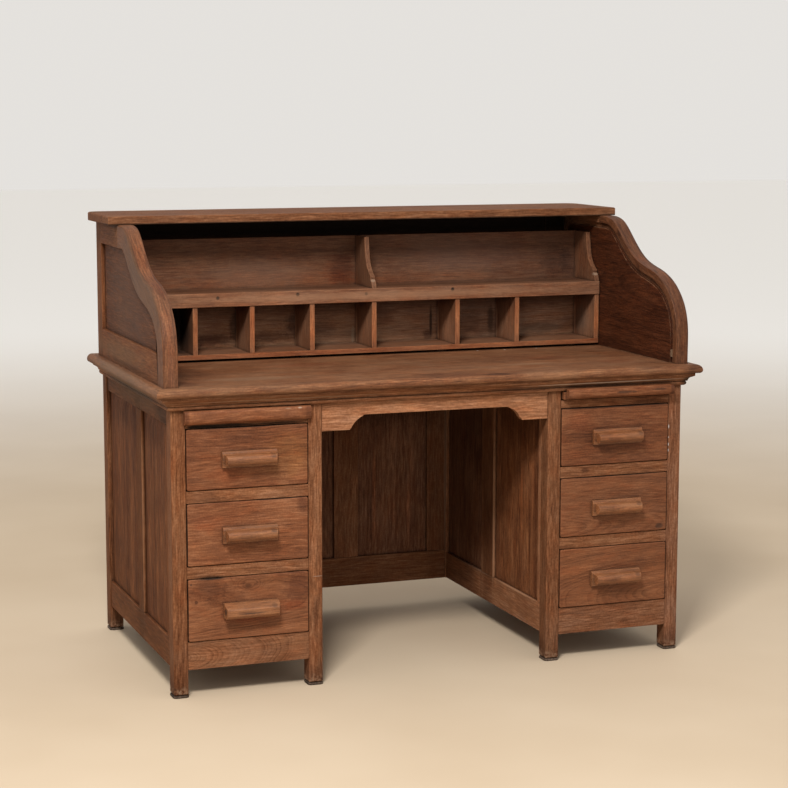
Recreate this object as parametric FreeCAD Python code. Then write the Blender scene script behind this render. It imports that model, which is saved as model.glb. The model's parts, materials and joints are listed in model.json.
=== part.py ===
import FreeCAD, Part
import os, math

os.makedirs("parts", exist_ok=True)
V = FreeCAD.Vector

# ---------------------------------------------------------------- driving dimensions (mm)
# X runs left to right, Y runs from the front to the back, Z is up.
# While building, Y = 0 is the front face of the front posts; save() moves every
# piece so that the origin is the centre of the footprint on the floor.
BODY_W = 1400.0          # over the outer faces of the outer posts
BODY_D = 759.0           # front posts' front face to rear posts' back face
PED_W = 389.0            # width of one pedestal over its posts
POST_W = 37.0
FRONT_POST_D = 44.0
REAR_POST_D = 44.0
GLIDE_H = 6.0
RAIL_Z0 = 70.0           # lower edge of every bottom rail
UNDER_TOP = 757.0        # underside of the desktop
TOP_T = 23.0             # desktop thickness
TOP_W = 1486.0           # desktop width
TOP_FRONT = -40.0        # front of the desktop nosing
TOP_BACK = 760.0
BAND = 50.0              # width of the desktop's edge bands
FRAME_T = 22.0           # thickness of the framed sides
FRAME_INSET = 3.0        # framed sides sit this far behind the post faces
TONGUE = 6.0             # depth of the panel tongues in their grooves
GAP = 1.5                # clearance round a drawer front
RUN_GAP = 0.5            # clearance between a drawer side and its runner

DRAWER_Z = {"lower": (142.0, 299.0), "middle": (332.5, 489.0), "upper": (522.5, 675.5)}
DRAWER_TRAVEL_DEPTH = 690.0

GABLE_IN = 680.0         # inner face of the gables
GABLE_OUT = 717.0        # outer face of the gables
GABLE_BACK = 729.0
LINING_T = 8.0           # inner lining board, also the depth of the curtain track
STILE_W = 58.0           # width of the scroll stile
TRACK_A = 20.0           # front wall of the curtain track, behind the scroll edge
TRACK_B = 34.0           # rear wall of the curtain track

TOPBOARD_Z0 = 1151.0
TOPBOARD_Z1 = 1173.0
TOPBOARD_FRONT = 462.0
TOPBOARD_BACK = 747.0
TOPBOARD_X = (-743.0, 727.0)
TOPBOARD_R = 40.0        # rounded rear corners

GAL_FRONT = 457.0        # front of the gallery
GAL_BACK = 597.0         # front face of the gallery's back board
GAL_X = 677.0            # half width of the gallery insert
SHELF_TOP = 964.0
GAL_BACK_TOP = 1101.0
DIVIDER_T = 13.0
DIVIDER_X = (-513.0, -355.0, -185.0, -6.0, 241.0, 422.0)

SLIDE_REST = {"left": 0.0, "right": 12.0}   # how far each writing slide stands proud at rest
SLIDE_Z0 = {"left": 692.0, "right": 701.0}   # underside of each slide's board; the right one runs higher
SLIDE_RAIL_TOP = {"left": 688.0, "right": 698.0}

TOP_Z = UNDER_TOP + TOP_T
HALF = BODY_W / 2.0
KNEE = HALF - PED_W      # half width of the kneehole between the inner posts
OUT_IN = HALF - POST_W   # inner face of an outer post
INN_IN = KNEE + POST_W   # pedestal side of an inner post
REAR_Y = BODY_D - REAR_POST_D
CENTRE_Y = (TOP_FRONT + TOP_BACK) / 2.0


# ---------------------------------------------------------------- helpers
def box(x0, x1, y0, y1, z0, z1):
    return Part.makeBox(abs(x1 - x0), abs(y1 - y0), abs(z1 - z0),
                        V(min(x0, x1), min(y0, y1), min(z0, z1)))


def mirror(shape):
    return shape.mirror(V(0, 0, 0), V(1, 0, 0))


def side(shape, s):
    return shape if s > 0 else mirror(shape)


def solids_of(item):
    if isinstance(item, (list, tuple)):
        out = []
        for i in item:
            out += solids_of(i)
        return out
    return list(item.Solids)


def save(name, *items):
    parts = []
    for sh in solids_of(list(items)):
        sh = sh.copy()
        sh.translate(V(0, -CENTRE_Y, 0))
        parts.append(sh)
    shape = parts[0] if len(parts) == 1 else Part.makeCompound(parts)
    shape.exportStep("parts/%s.step" % name)


def wire_yz(pts, x):
    v = [V(x, p[0], p[1]) for p in pts]
    return Part.makePolygon(v + [v[0]])


def prism_yz(pts, x0, x1):
    f = Part.Face(wire_yz(pts, x0))
    return f.extrude(V(x1 - x0, 0, 0))


def prism_xz(pts, y0, y1):
    v = [V(p[0], y0, p[1]) for p in pts]
    f = Part.Face(Part.makePolygon(v + [v[0]]))
    return f.extrude(V(0, y1 - y0, 0))


def prism_xy(pts, z0, z1):
    v = [V(p[0], p[1], z0) for p in pts]
    f = Part.Face(Part.makePolygon(v + [v[0]]))
    return f.extrude(V(0, 0, z1 - z0))


def profile_face(segs, lift):
    """segs: list of ('l', p, q) lines and ('a', p, m, q) arcs in 2D; lift maps 2D to 3D."""
    edges = []
    for s in segs:
        if s[0] == 'l':
            edges.append(Part.makeLine(lift(s[1]), lift(s[2])))
        else:
            edges.append(Part.Arc(lift(s[1]), lift(s[2]), lift(s[3])).toShape())
    return Part.Face(Part.Wire(edges))


def arc_mid(c, r, deg):
    a = math.radians(deg)
    return (c[0] + r * math.cos(a), c[1] + r * math.sin(a))


def fillet_where(shape, r, test):
    edges = [e for e in shape.Edges if test(e)]
    return shape.makeFillet(r, edges) if edges else shape


def chamfer_where(shape, c, test):
    edges = [e for e in shape.Edges if test(e)]
    return shape.makeChamfer(c, edges) if edges else shape


def mid(e):
    return e.BoundBox.Center


def along(e, axis):
    b = e.BoundBox
    ext = {"x": b.XLength, "y": b.YLength, "z": b.ZLength}
    return ext[axis] > 1.0 and all(ext[k] < 0.01 for k in ext if k != axis)


def raised_panel_x(x_core0, x_core1, x_field, y0, y1, z0, z1, bevel=26.0, margin=5.0):
    """Panel in a YZ opening: core with tongues, raised field toward x_field."""
    core = box(x_core0, x_core1, y0 - TONGUE, y1 + TONGUE, z0 - TONGUE, z1 + TONGUE)
    xs = x_core1 if x_field > x_core1 else x_core0
    a = [(y0 + margin, z0 + margin), (y1 - margin, z0 + margin), (y1 - margin, z1 - margin), (y0 + margin, z1 - margin)]
    b = [(y0 + bevel, z0 + bevel), (y1 - bevel, z0 + bevel), (y1 - bevel, z1 - bevel), (y0 + bevel, z1 - bevel)]
    f = Part.makeLoft([wire_yz(a, xs), wire_yz(b, x_field)], True, True)
    return core.fuse(f).removeSplitter()


def raised_panel_y(y_core0, y_core1, y_field, x0, x1, z0, z1, bevel=26.0, margin=5.0):
    core = box(x0 - TONGUE, x1 + TONGUE, y_core0, y_core1, z0 - TONGUE, z1 + TONGUE)
    ys = y_core1 if y_field > y_core1 else y_core0

    def w(m, y):
        v = [V(x0 + m, y, z0 + m), V(x1 - m, y, z0 + m), V(x1 - m, y, z1 - m), V(x0 + m, y, z1 - m)]
        return Part.makePolygon(v + [v[0]])
    f = Part.makeLoft([w(margin, ys), w(bevel, y_field)], True, True)
    return core.fuse(f).removeSplitter()


# ---------------------------------------------------------------- pedestals
# Front and rear posts stand on their own glides; the framed sides, front rails and
# backs are let in between them.
OUT_F0, OUT_F1 = HALF - FRAME_INSET - FRAME_T, HALF - FRAME_INSET     # outer framed side, X
INN_F0, INN_F1 = KNEE + FRAME_INSET, KNEE + FRAME_INSET + FRAME_T     # kneehole framed side, X
SIDE_TOP_RAIL = 681.0
OUT_BOT_RAIL = 143.0
INN_BOT_RAIL = 147.0
OUT_STILE = 76.0
INN_STILE = 66.0
OUT_MUNTIN = (323.0, 379.0)
INN_MUNTIN = (366.0, 450.0)
OUT_CORE = (OUT_F0 + 6.0, OUT_F0 + 13.0)
INN_CORE = (INN_F1 - 13.0, INN_F1 - 6.0)
BACK_F = (727.0, 749.0)       # pedestal backs, Y
KNEE_F = (717.0, 739.0)       # kneehole back, Y

openings_outer = [(OUT_STILE, OUT_MUNTIN[0]), (OUT_MUNTIN[1], REAR_Y)]
openings_inner = [(INN_STILE, INN_MUNTIN[0]), (INN_MUNTIN[1], REAR_Y)]

grooves = []
for (y0, y1) in openings_outer:
    grooves.append(box(OUT_CORE[0] - 0.1, OUT_CORE[1] + 0.1, y0 - TONGUE - 0.2, y1 + TONGUE + 0.2,
                       OUT_BOT_RAIL - TONGUE - 0.2, SIDE_TOP_RAIL + TONGUE + 0.2))
for (y0, y1) in openings_inner:
    grooves.append(box(INN_CORE[0] - 0.1, INN_CORE[1] + 0.1, y0 - TONGUE - 0.2, y1 + TONGUE + 0.2,
                       INN_BOT_RAIL - TONGUE - 0.2, SIDE_TOP_RAIL + TONGUE + 0.2))
ped_back_groove = box(INN_IN - 0.0, OUT_IN + 0.0, BACK_F[0] + 6.9, BACK_F[0] + 15.1,
                      OUT_BOT_RAIL - TONGUE - 0.2, SIDE_TOP_RAIL + TONGUE + 0.2)
ped_back_post_groove = box(INN_IN - TONGUE - 0.2, OUT_IN + TONGUE + 0.2, BACK_F[0] + 6.9, BACK_F[0] + 15.1,
                           OUT_BOT_RAIL - TONGUE - 0.2, SIDE_TOP_RAIL + TONGUE + 0.2)


def groove(shape, cutters):
    for g in cutters:
        shape = shape.cut(g)
    return shape


def post(x0, x1, y0, y1):
    p = box(x0, x1, y0, y1, GLIDE_H, UNDER_TOP)
    p = chamfer_where(p, 4.0, lambda e: abs(mid(e).z - GLIDE_H) < 0.01)
    cx, cy = (x0 + x1) / 2.0, (y0 + y1) / 2.0
    p = fillet_where(p, 3.0, lambda e: along(e, "z") and e.BoundBox.ZLength > 300)
    return p


def front_post(outer):
    p = post(OUT_IN, HALF, 0, FRONT_POST_D) if outer else post(KNEE, INN_IN, 0, FRONT_POST_D)
    return p


def rear_post(outer):
    p = post(OUT_IN, HALF, REAR_Y, BODY_D) if outer else post(KNEE, INN_IN, REAR_Y, BODY_D)
    if not outer:
        # the posts at the back of the kneehole end level with the bottom rails
        p = p.cut(box(KNEE - 5, INN_IN + 5, REAR_Y - 5, BODY_D + 5, 0, RAIL_Z0))
    return groove(p, grooves + [ped_back_post_groove])


for s, nm in ((1, "right"), (-1, "left")):
    save("%s_outer_front_post" % nm, side(front_post(True), s))
    save("%s_inner_front_post" % nm, side(front_post(False), s))
    save("%s_rear_posts" % nm, side(rear_post(True), s), side(rear_post(False), s))

    # framed sides: top rail, bottom rail, front stile and muntin on each face
    fr = []
    fr.append(groove(box(OUT_F0, OUT_F1, FRONT_POST_D, REAR_Y, SIDE_TOP_RAIL, UNDER_TOP), grooves))
    fr.append(groove(box(OUT_F0, OUT_F1, FRONT_POST_D, REAR_Y, RAIL_Z0, OUT_BOT_RAIL), grooves))
    fr.append(groove(box(OUT_F0, OUT_F1, FRONT_POST_D, OUT_STILE, OUT_BOT_RAIL, SIDE_TOP_RAIL), grooves))
    fr.append(groove(box(OUT_F0, OUT_F1, OUT_MUNTIN[0], OUT_MUNTIN[1], OUT_BOT_RAIL, SIDE_TOP_RAIL), grooves))
    fr.append(groove(box(INN_F0, INN_F1, FRONT_POST_D, REAR_Y, SIDE_TOP_RAIL, UNDER_TOP), grooves))
    fr.append(groove(box(INN_F0, INN_F1, FRONT_POST_D, REAR_Y, RAIL_Z0, INN_BOT_RAIL), grooves))
    fr.append(groove(box(INN_F0, INN_F1, FRONT_POST_D, INN_STILE, INN_BOT_RAIL, SIDE_TOP_RAIL), grooves))
    fr.append(groove(box(INN_F0, INN_F1, INN_MUNTIN[0], INN_MUNTIN[1], INN_BOT_RAIL, SIDE_TOP_RAIL), grooves))
    save("%s_side_frames" % nm, [side(f, s) for f in fr])

    # raised panels, held by their tongues
    pn = []
    for (y0, y1) in openings_outer:
        pn.append(raised_panel_x(OUT_CORE[0], OUT_CORE[1], OUT_CORE[1] + 3.5, y0, y1, OUT_BOT_RAIL, SIDE_TOP_RAIL))
    for (y0, y1) in openings_inner:
        pn.append(raised_panel_x(INN_CORE[0], INN_CORE[1], INN_CORE[0] - 3.5, y0, y1, INN_BOT_RAIL, SIDE_TOP_RAIL))
    save("%s_side_panels" % nm, [side(p, s) for p in pn])

    # front rails: bottom rail, two drawer rails, slide rail and the rail behind the bed mould
    lo, mi, up = DRAWER_Z["lower"], DRAWER_Z["middle"], DRAWER_Z["upper"]
    rails = [
        box(INN_IN, OUT_IN, 1, 26, RAIL_Z0, lo[0] - GAP),
        box(INN_IN, OUT_IN, 1, 60, lo[1] + GAP, mi[0] - GAP),
        box(INN_IN, OUT_IN, 1, 60, mi[1] + GAP, up[0] - GAP),
        box(INN_IN, OUT_IN, 1, 60, up[1] + GAP, SLIDE_RAIL_TOP[nm]),
        box(INN_IN, OUT_IN, 1, 26, 725.0, UNDER_TOP),
    ]
    save("%s_front_rails" % nm, [side(r, s) for r in rails])

    # drawer runners with their guides, slide runners and the kickers above the slides
    run = []
    for key in ("lower", "middle", "upper"):
        top = DRAWER_Z[key][0] - GAP
        y0 = 60.0 if key != "lower" else 26.0
        if key == "lower":
            y0 = 44.0
        for (a, b, ga, gb) in ((OUT_F0 - 30, OUT_F0, OUT_F0 - 11.5, OUT_F0), (INN_F1, INN_F1 + 30, INN_F1, INN_F1 + 11.5)):
            run.append(box(a, b, max(y0, 60.0), REAR_Y - 1, top - 28, top))
            run.append(box(ga, gb, max(y0, 60.0), REAR_Y - 1, top, top + 15))
    for (a, b) in ((OUT_F0 - 30, OUT_F0), (INN_F1, INN_F1 + 30)):
        run.append(box(a, b, 60, REAR_Y - 1, 678.0, SLIDE_Z0[nm] - 0.5))
        run.append(box(a, b, 60, 400, SLIDE_Z0[nm] + 21.0, UNDER_TOP))
    save("%s_drawer_runners" % nm, [side(r, s) for r in run])

    # pedestal back: two rails and a flat panel
    bk = [
        box(INN_IN, OUT_IN, BACK_F[0], BACK_F[1], SIDE_TOP_RAIL, UNDER_TOP).cut(ped_back_groove),
        box(INN_IN, OUT_IN, BACK_F[0], BACK_F[1], RAIL_Z0, OUT_BOT_RAIL).cut(ped_back_groove),
        box(INN_IN - TONGUE, OUT_IN + TONGUE, BACK_F[0] + 7, BACK_F[0] + 15, OUT_BOT_RAIL - TONGUE, SIDE_TOP_RAIL + TONGUE),
    ]
    save("%s_pedestal_back" % nm, [side(b, s) for b in bk])

# glides: low domed pads a little wider than the posts
gl = []
for x0, x1 in ((OUT_IN, HALF), (KNEE, INN_IN)):
    for y0, y1 in ((0, FRONT_POST_D), (REAR_Y, BODY_D)):
        if x0 == KNEE and y0 > 0:
            continue
        g = box(x0 - 2.0, x1 + 2.0, y0 - (2.0 if y0 == 0 else 1.0), y1 + 1.0, 0, GLIDE_H)
        g = fillet_where(g, 10.0, lambda e: along(e, "z"))
        g = fillet_where(g, 2.4, lambda e: mid(e).z > GLIDE_H - 0.01 or mid(e).z < 0.01)
        gl += [g, mirror(g)]
save("foot_glides", gl)

# ---------------------------------------------------------------- kneehole
# apron: straight middle, flattened quarter-round corners with small nicks, deeper ears
APRON_EAR, APRON_MID = 651.5, 688.5
up_pt = lambda p: V(p[0], 4.0, p[1])
segs = [
    ('l', (-KNEE, UNDER_TOP), (-KNEE, APRON_EAR)),
    ('l', (-KNEE, APRON_EAR), (-236.0, APRON_EAR)),
    ('l', (-236.0, APRON_EAR), (-232.0, 655.5)),
    ('a', (-232.0, 655.5), (-219.7, 672.3), (-202.0, 684.6)),
    ('l', (-202.0, 684.6), (-196.0, APRON_MID)),
    ('l', (-196.0, APRON_MID), (199.0, APRON_MID)),
    ('l', (199.0, APRON_MID), (203.5, 684.6)),
    ('a', (203.5, 684.6), (221.6, 674.4), (231.5, 659.5)),
    ('l', (231.5, 659.5), (235.5, 657.5)),
    ('l', (235.5, 657.5), (238.5, APRON_EAR)),
    ('l', (238.5, APRON_EAR), (KNEE, APRON_EAR)),
    ('l', (KNEE, APRON_EAR), (KNEE, UNDER_TOP)),
    ('l', (KNEE, UNDER_TOP), (-KNEE, UNDER_TOP)),
]
save("kneehole_apron", profile_face(segs, up_pt).extrude(V(0, 22, 0)))

# back of the kneehole: two stiles, two rails, a muntin and two raised panels
KB_STILE, KB_MUNT, KB_TOP, KB_BOT = 252.0, 37.0, 681.0, 155.0
kcore = (KNEE_F[0] + 9.0, KNEE_F[0] + 16.0)
kg = [box(x0 - TONGUE - 0.2, x1 + TONGUE + 0.2, kcore[0] - 0.1, kcore[1] + 0.1, KB_BOT - TONGUE - 0.2, KB_TOP + TONGUE + 0.2)
      for (x0, x1) in ((-KB_STILE, -KB_MUNT), (KB_MUNT, KB_STILE))]
kf = [
    box(-KNEE, -KB_STILE, KNEE_F[0], KNEE_F[1], KB_BOT, UNDER_TOP),
    box(KB_STILE, KNEE, KNEE_F[0], KNEE_F[1], KB_BOT, UNDER_TOP),
    box(-KB_STILE, KB_STILE, KNEE_F[0], KNEE_F[1], KB_TOP, UNDER_TOP),
    box(-KNEE, KNEE, KNEE_F[0], KNEE_F[1], RAIL_Z0, KB_BOT),
    box(-KB_MUNT, KB_MUNT, KNEE_F[0], KNEE_F[1], KB_BOT, KB_TOP),
]
save("kneehole_back_frame", [groove(f, kg) for f in kf])
save("kneehole_back_panels", [raised_panel_y(kcore[0], kcore[1], kcore[0] - 4.0, x0, x1, KB_BOT, KB_TOP)
                              for (x0, x1) in ((-KB_STILE, -KB_MUNT), (KB_MUNT, KB_STILE))])

# ---------------------------------------------------------------- desktop
HW = TOP_W / 2.0
save("desktop_board", box(-HW + BAND, HW - BAND, TOP_FRONT + BAND, TOP_BACK, UNDER_TOP, TOP_Z))


def nosing_segs(edge, inner, sgn):
    """Nosing section: edge is the outermost coordinate, sgn points inward."""
    rb, rt = 8.0, 14.0
    e = edge
    return [
        ('l', (inner, UNDER_TOP), (e + sgn * rb, UNDER_TOP)),
        ('a', (e + sgn * rb, UNDER_TOP), (e + sgn * rb * (1 - math.sqrt(0.5)), UNDER_TOP + rb * (1 - math.sqrt(0.5))), (e, UNDER_TOP + rb)),
        ('l', (e, UNDER_TOP + rb), (e, TOP_Z - rt)),
        ('a', (e, TOP_Z - rt), (e + sgn * rt * (1 - math.sqrt(0.5)), TOP_Z - rt * (1 - math.sqrt(0.5))), (e + sgn * rt, TOP_Z)),
        ('l', (e + sgn * rt, TOP_Z), (inner, TOP_Z)),
        ('l', (inner, TOP_Z), (inner, UNDER_TOP)),
    ]


fb = profile_face(nosing_segs(TOP_FRONT, TOP_FRONT + BAND, 1), lambda p: V(-HW, p[0], p[1])).extrude(V(TOP_W, 0, 0))
fb = fb.common(prism_xy([(-HW, TOP_FRONT), (HW, TOP_FRONT), (HW - BAND, TOP_FRONT + BAND), (-HW + BAND, TOP_FRONT + BAND)], 700, 800))
eb = profile_face(nosing_segs(HW, HW - BAND, -1), lambda p: V(p[0], TOP_FRONT, p[1])).extrude(V(0, TOP_BACK - TOP_FRONT, 0))
eb = eb.common(prism_xy([(HW, TOP_FRONT), (HW, TOP_BACK), (HW - BAND, TOP_BACK), (HW - BAND, TOP_FRONT + BAND)], 700, 800))
save("desktop_edge_bands", fb, eb, mirror(eb))

# bed mould: top fillet, cove, quirk and a rounded lower member, mitred round the front and both ends
MOULD_Z = 723.0


def mould_segs(face, sgn):
    def p(out, z):
        return (face + sgn * out, z)
    return [
        ('l', p(0, UNDER_TOP), p(27.0, UNDER_TOP)),
        ('l', p(27.0, UNDER_TOP), p(27.0, 749.0)),
        ('l', p(27.0, 749.0), p(22.5, 746.5)),
        ('a', p(22.5, 746.5), p(15.2, 742.0), p(12.5, 735.0)),
        ('l', p(12.5, 735.0), p(8.0, 734.2)),
        ('l', p(8.0, 734.2), p(10.0, 732.0)),
        ('l', p(10.0, 732.0), p(10.0, 728.5)),
        ('a', p(10.0, 728.5), p(8.3, 724.9), p(5.0, MOULD_Z)),
        ('l', p(5.0, MOULD_Z), p(0, MOULD_Z)),
        ('l', p(0, MOULD_Z), p(0, UNDER_TOP)),
    ]


mf = profile_face(mould_segs(0.0, -1), lambda p: V(-740, p[0], p[1])).extrude(V(1480, 0, 0))
mf = mf.common(prism_xy([(-HALF, 0), (HALF, 0), (HALF + 30, -30), (-HALF - 30, -30)], 700, 800))
ms = profile_face(mould_segs(HALF, 1), lambda p: V(p[0], -30, p[1])).extrude(V(0, BODY_D + 30, 0))
ms = ms.common(prism_xy([(HALF, 0), (HALF + 30, -30), (HALF + 30, BODY_D), (HALF, BODY_D)], 700, 800))
save("bed_moulding", mf, ms, mirror(ms))

# ---------------------------------------------------------------- gables
# Scroll outline, from under the top board down to the desktop.
SCROLL = [(470, 1151), (432, 1150.5), (400, 1146), (376, 1137), (354, 1123), (325, 1100), (294, 1076),
          (262, 1055), (226, 1038.5), (192, 1029), (160, 1022), (131, 1015), (104, 1005), (75, 990.5),
          (45, 967.5), (22, 942), (6, 912), (-2.5, 880), (-5, 845), (-5, 780)]
spl = Part.BSplineCurve()
spl.interpolate([V(0, p[0], p[1]) for p in SCROLL])


def scroll_points(offset, n=90):
    """Points on the scroll curve moved inward by offset."""
    out = []
    a, b = spl.FirstParameter, spl.LastParameter
    for i in range(n + 1):
        t = a + (b - a) * i / n
        p = spl.value(t)
        d = spl.tangent(t)[0]
        d.normalize()
        # travelling forward and down, the inside of the gable lies to the rear-below
        nrm = V(0, -d.z, d.y)
        if i == 0:
            nrm = V(0, 0, -1)
        if i == n:
            nrm = V(0, 1, 0)
        out.append((p.y + nrm.y * offset, p.z + nrm.z * offset))
    return out


def curve_edge(pts, x):
    c = Part.BSplineCurve()
    c.interpolate([V(x, p[0], p[1]) for p in pts])
    return c.toShape()


def thin(pts, step=4):
    return [pts[0]] + pts[step:-1:step] + [pts[-1]]


S0 = thin(scroll_points(0.0))
S_STILE = thin(scroll_points(STILE_W))
S_A = thin(scroll_points(TRACK_A))
S_B = thin(scroll_points(TRACK_B))


def line_edges(pts, x):
    v = [V(x, p[0], p[1]) for p in pts]
    return [Part.makeLine(v[i], v[i + 1]) for i in range(len(v) - 1)]


def slab(curve, closing, x0, x1):
    """Solid between x0 and x1 bounded by a curve and a chain of straight edges."""
    edges = [curve_edge(curve, x0)] + line_edges([curve[-1]] + closing + [curve[0]], x0)
    f = Part.Face(Part.Wire(Part.__sortEdges__(edges)))
    return f.extrude(V(x1 - x0, 0, 0))


G_TOP = TOPBOARD_Z0
G_BOT = TOP_Z
blank = slab(S0, [(GABLE_BACK, G_BOT), (GABLE_BACK, G_TOP)], GABLE_IN, GABLE_OUT)
inner_zone = slab(S_STILE, [(GABLE_BACK, S_STILE[-1][1]), (GABLE_BACK, S_STILE[0][1])], GABLE_IN - 1, GABLE_OUT + 1)
stile_blank = blank.cut(inner_zone).cut(box(GABLE_IN - 1, GABLE_OUT + 1, SCROLL[0][0], 900, 700, 1300))
rest = blank.cut(stile_blank)


def on_scroll(e, x):
    b = e.BoundBox
    return abs(b.XMin - x) < 0.01 and abs(b.XMax - x) < 0.01 and b.YMin < 0 and b.ZLength > 200


stile_blank = fillet_where(stile_blank, 5.0, lambda e: on_scroll(e, GABLE_OUT))
stile_blank = fillet_where(stile_blank, 2.0, lambda e: on_scroll(e, GABLE_IN))

# curtain track: outer boundary (A) and the lining board inside it (B)
track_top = G_TOP - 19.0
BEND = 45.0
TR_Y = 695.0
zoneA = slab(S_A, [(TR_Y, S_A[-1][1]), (TR_Y, S_A[0][1])], GABLE_IN - 1, GABLE_IN + LINING_T)
zoneA = fillet_where(zoneA, BEND, lambda e: along(e, "x") and abs(mid(e).y - TR_Y) < 0.1 and mid(e).z > 1000)
lining = slab(S_B, [(TR_Y - 14.0, S_B[-1][1]), (TR_Y - 14.0, S_B[0][1])], GABLE_IN, GABLE_IN + LINING_T)
lining = fillet_where(lining, BEND - 14.0, lambda e: along(e, "x") and abs(mid(e).y - (TR_Y - 14.0)) < 0.1 and mid(e).z > 1000)

G_TOP_RAIL = 1091.0
G_BOT_RAIL = 857.0
G_BACK_STILE = 671.0
# opening of the outer frame, as a polygon that follows the scroll stile
inner_pts = scroll_points(STILE_W, 60)
open_curve = [p for p in inner_pts if G_BOT_RAIL + 2 < p[1] < G_TOP_RAIL - 2]


def at_z(pts, z):
    for i in range(len(pts) - 1):
        a, b = pts[i], pts[i + 1]
        if (a[1] - z) * (b[1] - z) <= 0 and a[1] != b[1]:
            t = (z - a[1]) / (b[1] - a[1])
            return (a[0] + t * (b[0] - a[0]), z)
    return None


def opening_poly(grow):
    """Opening polygon grown (or shrunk) by a distance; same number of corners each time."""
    pts = scroll_points(STILE_W - grow, 60)
    z1 = G_TOP_RAIL + grow
    z0 = G_BOT_RAIL - grow
    top = at_z(pts, z1)
    bot = at_z(pts, z0) or (pts[-1][0], z0)
    out = [top]
    for k in range(1, 15):
        z = z1 + (z0 - z1) * k / 15.0
        out.append(at_z(pts, z))
    out.append(bot)
    out += [(G_BACK_STILE + grow, z0), (G_BACK_STILE + grow, z1)]
    return out


opening_cut = prism_yz(opening_poly(0.0), GABLE_IN + LINING_T - 0.5, GABLE_OUT + 1)
g_core = (GABLE_OUT - 17.0, GABLE_OUT - 10.0)
panel_groove = prism_yz(opening_poly(TONGUE + 0.3), g_core[0] - 0.1, g_core[1] + 0.1)

stile = stile_blank.cut(zoneA).cut(opening_cut).cut(panel_groove)
rails = rest.cut(zoneA).cut(opening_cut)
top_rail = rails.common(box(GABLE_IN - 1, GABLE_OUT + 1, 0, G_BACK_STILE, 1000, 1300)).cut(panel_groove)
bot_rail = rails.common(box(GABLE_IN - 1, GABLE_OUT + 1, 0, G_BACK_STILE, 700, 1000)).cut(panel_groove)
back_stile = rails.common(box(GABLE_IN - 1, GABLE_OUT + 1, G_BACK_STILE, 900, 700, 1300)).cut(panel_groove)

# outer panel: tongued core and a raised field with a wide bevel
core = prism_yz(opening_poly(TONGUE), g_core[0], g_core[1])
pw0 = wire_yz(opening_poly(-6.0), g_core[1])
pw1 = wire_yz(opening_poly(-38.0), g_core[1] + 4.5)
field = Part.makeLoft([pw0, pw1], True, True)
gpanel = core.fuse(field)


def biggest(shape):
    return sorted(shape.Solids, key=lambda q: -q.Volume)[0]


for s, nm in ((1, "right"), (-1, "left")):
    save("%s_gable_scroll_stile" % nm, side(biggest(stile), s))
    save("%s_gable_rails" % nm, side(biggest(top_rail), s), side(biggest(bot_rail), s), side(biggest(back_stile), s))
    save("%s_gable_panel" % nm, side(biggest(gpanel), s))
save("gable_linings", lining, mirror(lining))
stop = box(GABLE_IN + 0.2, GABLE_IN + LINING_T, -5 + TRACK_A + 1.0, -5 + TRACK_B - 1.0, 796, 816)
save("curtain_track_stops", stop, mirror(stop))

# ---------------------------------------------------------------- top board
tb = box(TOPBOARD_X[0], TOPBOARD_X[1], TOPBOARD_FRONT, TOPBOARD_BACK, TOPBOARD_Z0, TOPBOARD_Z1)
tb = fillet_where(tb, TOPBOARD_R, lambda e: along(e, "z") and mid(e).y > TOPBOARD_BACK - 1)
tb = fillet_where(tb, 4.0, lambda e: abs(mid(e).z - TOPBOARD_Z1) < 0.01)
tb = fillet_where(tb, 1.5, lambda e: abs(mid(e).z - TOPBOARD_Z0) < 0.01)
save("top_board", tb)

# ---------------------------------------------------------------- gallery
save("gallery_back", box(-GABLE_IN + 0.3, GABLE_IN - 0.3, GAL_BACK, GAL_BACK + 12, TOP_Z, GAL_BACK_TOP))
BASE_Z0, BASE_Z1 = 787.0, 800.0
cleats = [box(x - 12, x + 12, GAL_FRONT + 22, GAL_BACK - 5, TOP_Z, BASE_Z0) for x in (-600, -200, 200, 600)]
save("gallery_base", box(-GAL_X, GAL_X, GAL_FRONT, GAL_BACK, BASE_Z0, BASE_Z1), cleats)
FASCIA_T = 16.0
FASCIA_Z0 = 927.0
SHELF_T = 14.0
fas = box(-GAL_X, GAL_X, GAL_FRONT - 2, GAL_FRONT + FASCIA_T - 2, FASCIA_Z0, SHELF_TOP)
fas = fillet_where(fas, 2.0, lambda e: along(e, "x") and abs(mid(e).y - (GAL_FRONT - 2)) < 0.01)
save("gallery_fascia", fas)
save("gallery_shelf", box(-GAL_X, GAL_X, GAL_FRONT + FASCIA_T - 2, GAL_BACK, SHELF_TOP - SHELF_T, SHELF_TOP))
divs = []
for x in list(DIVIDER_X) + [-GAL_X + DIVIDER_T / 2, GAL_X - DIVIDER_T / 2]:
    y0, y1, ym = GAL_FRONT + 1, GAL_BACK, GAL_FRONT + FASCIA_T - 2
    pts = [(y0, BASE_Z1), (y1, BASE_Z1), (y1, SHELF_TOP - SHELF_T), (ym, SHELF_TOP - SHELF_T), (ym, FASCIA_Z0), (y0, FASCIA_Z0)]
    divs.append(prism_yz(pts, x - DIVIDER_T / 2, x + DIVIDER_T / 2))
save("gallery_dividers", divs)
# scrolled brackets standing on the shelf against the back board
BR = [(GAL_BACK, SHELF_TOP), (458, SHELF_TOP), (459.5, 972), (463, 980), (468.5, 986), (473, 989.5), (471, 991), (471, 996.5),
      (475.5, 998.5), (484.5, 1004), (492.5, 1011.5), (500, 1019.5), (506.5, 1030), (511, 1043), (514.5, 1058), (517.5, 1076),
      (520, 1092), (521, GAL_BACK_TOP), (GAL_BACK, GAL_BACK_TOP)]
br = [prism_yz(BR, x - DIVIDER_T / 2, x + DIVIDER_T / 2) for x in (DIVIDER_X[3], -GAL_X + DIVIDER_T / 2, GAL_X - DIVIDER_T / 2)]
save("gallery_brackets", br)

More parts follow.
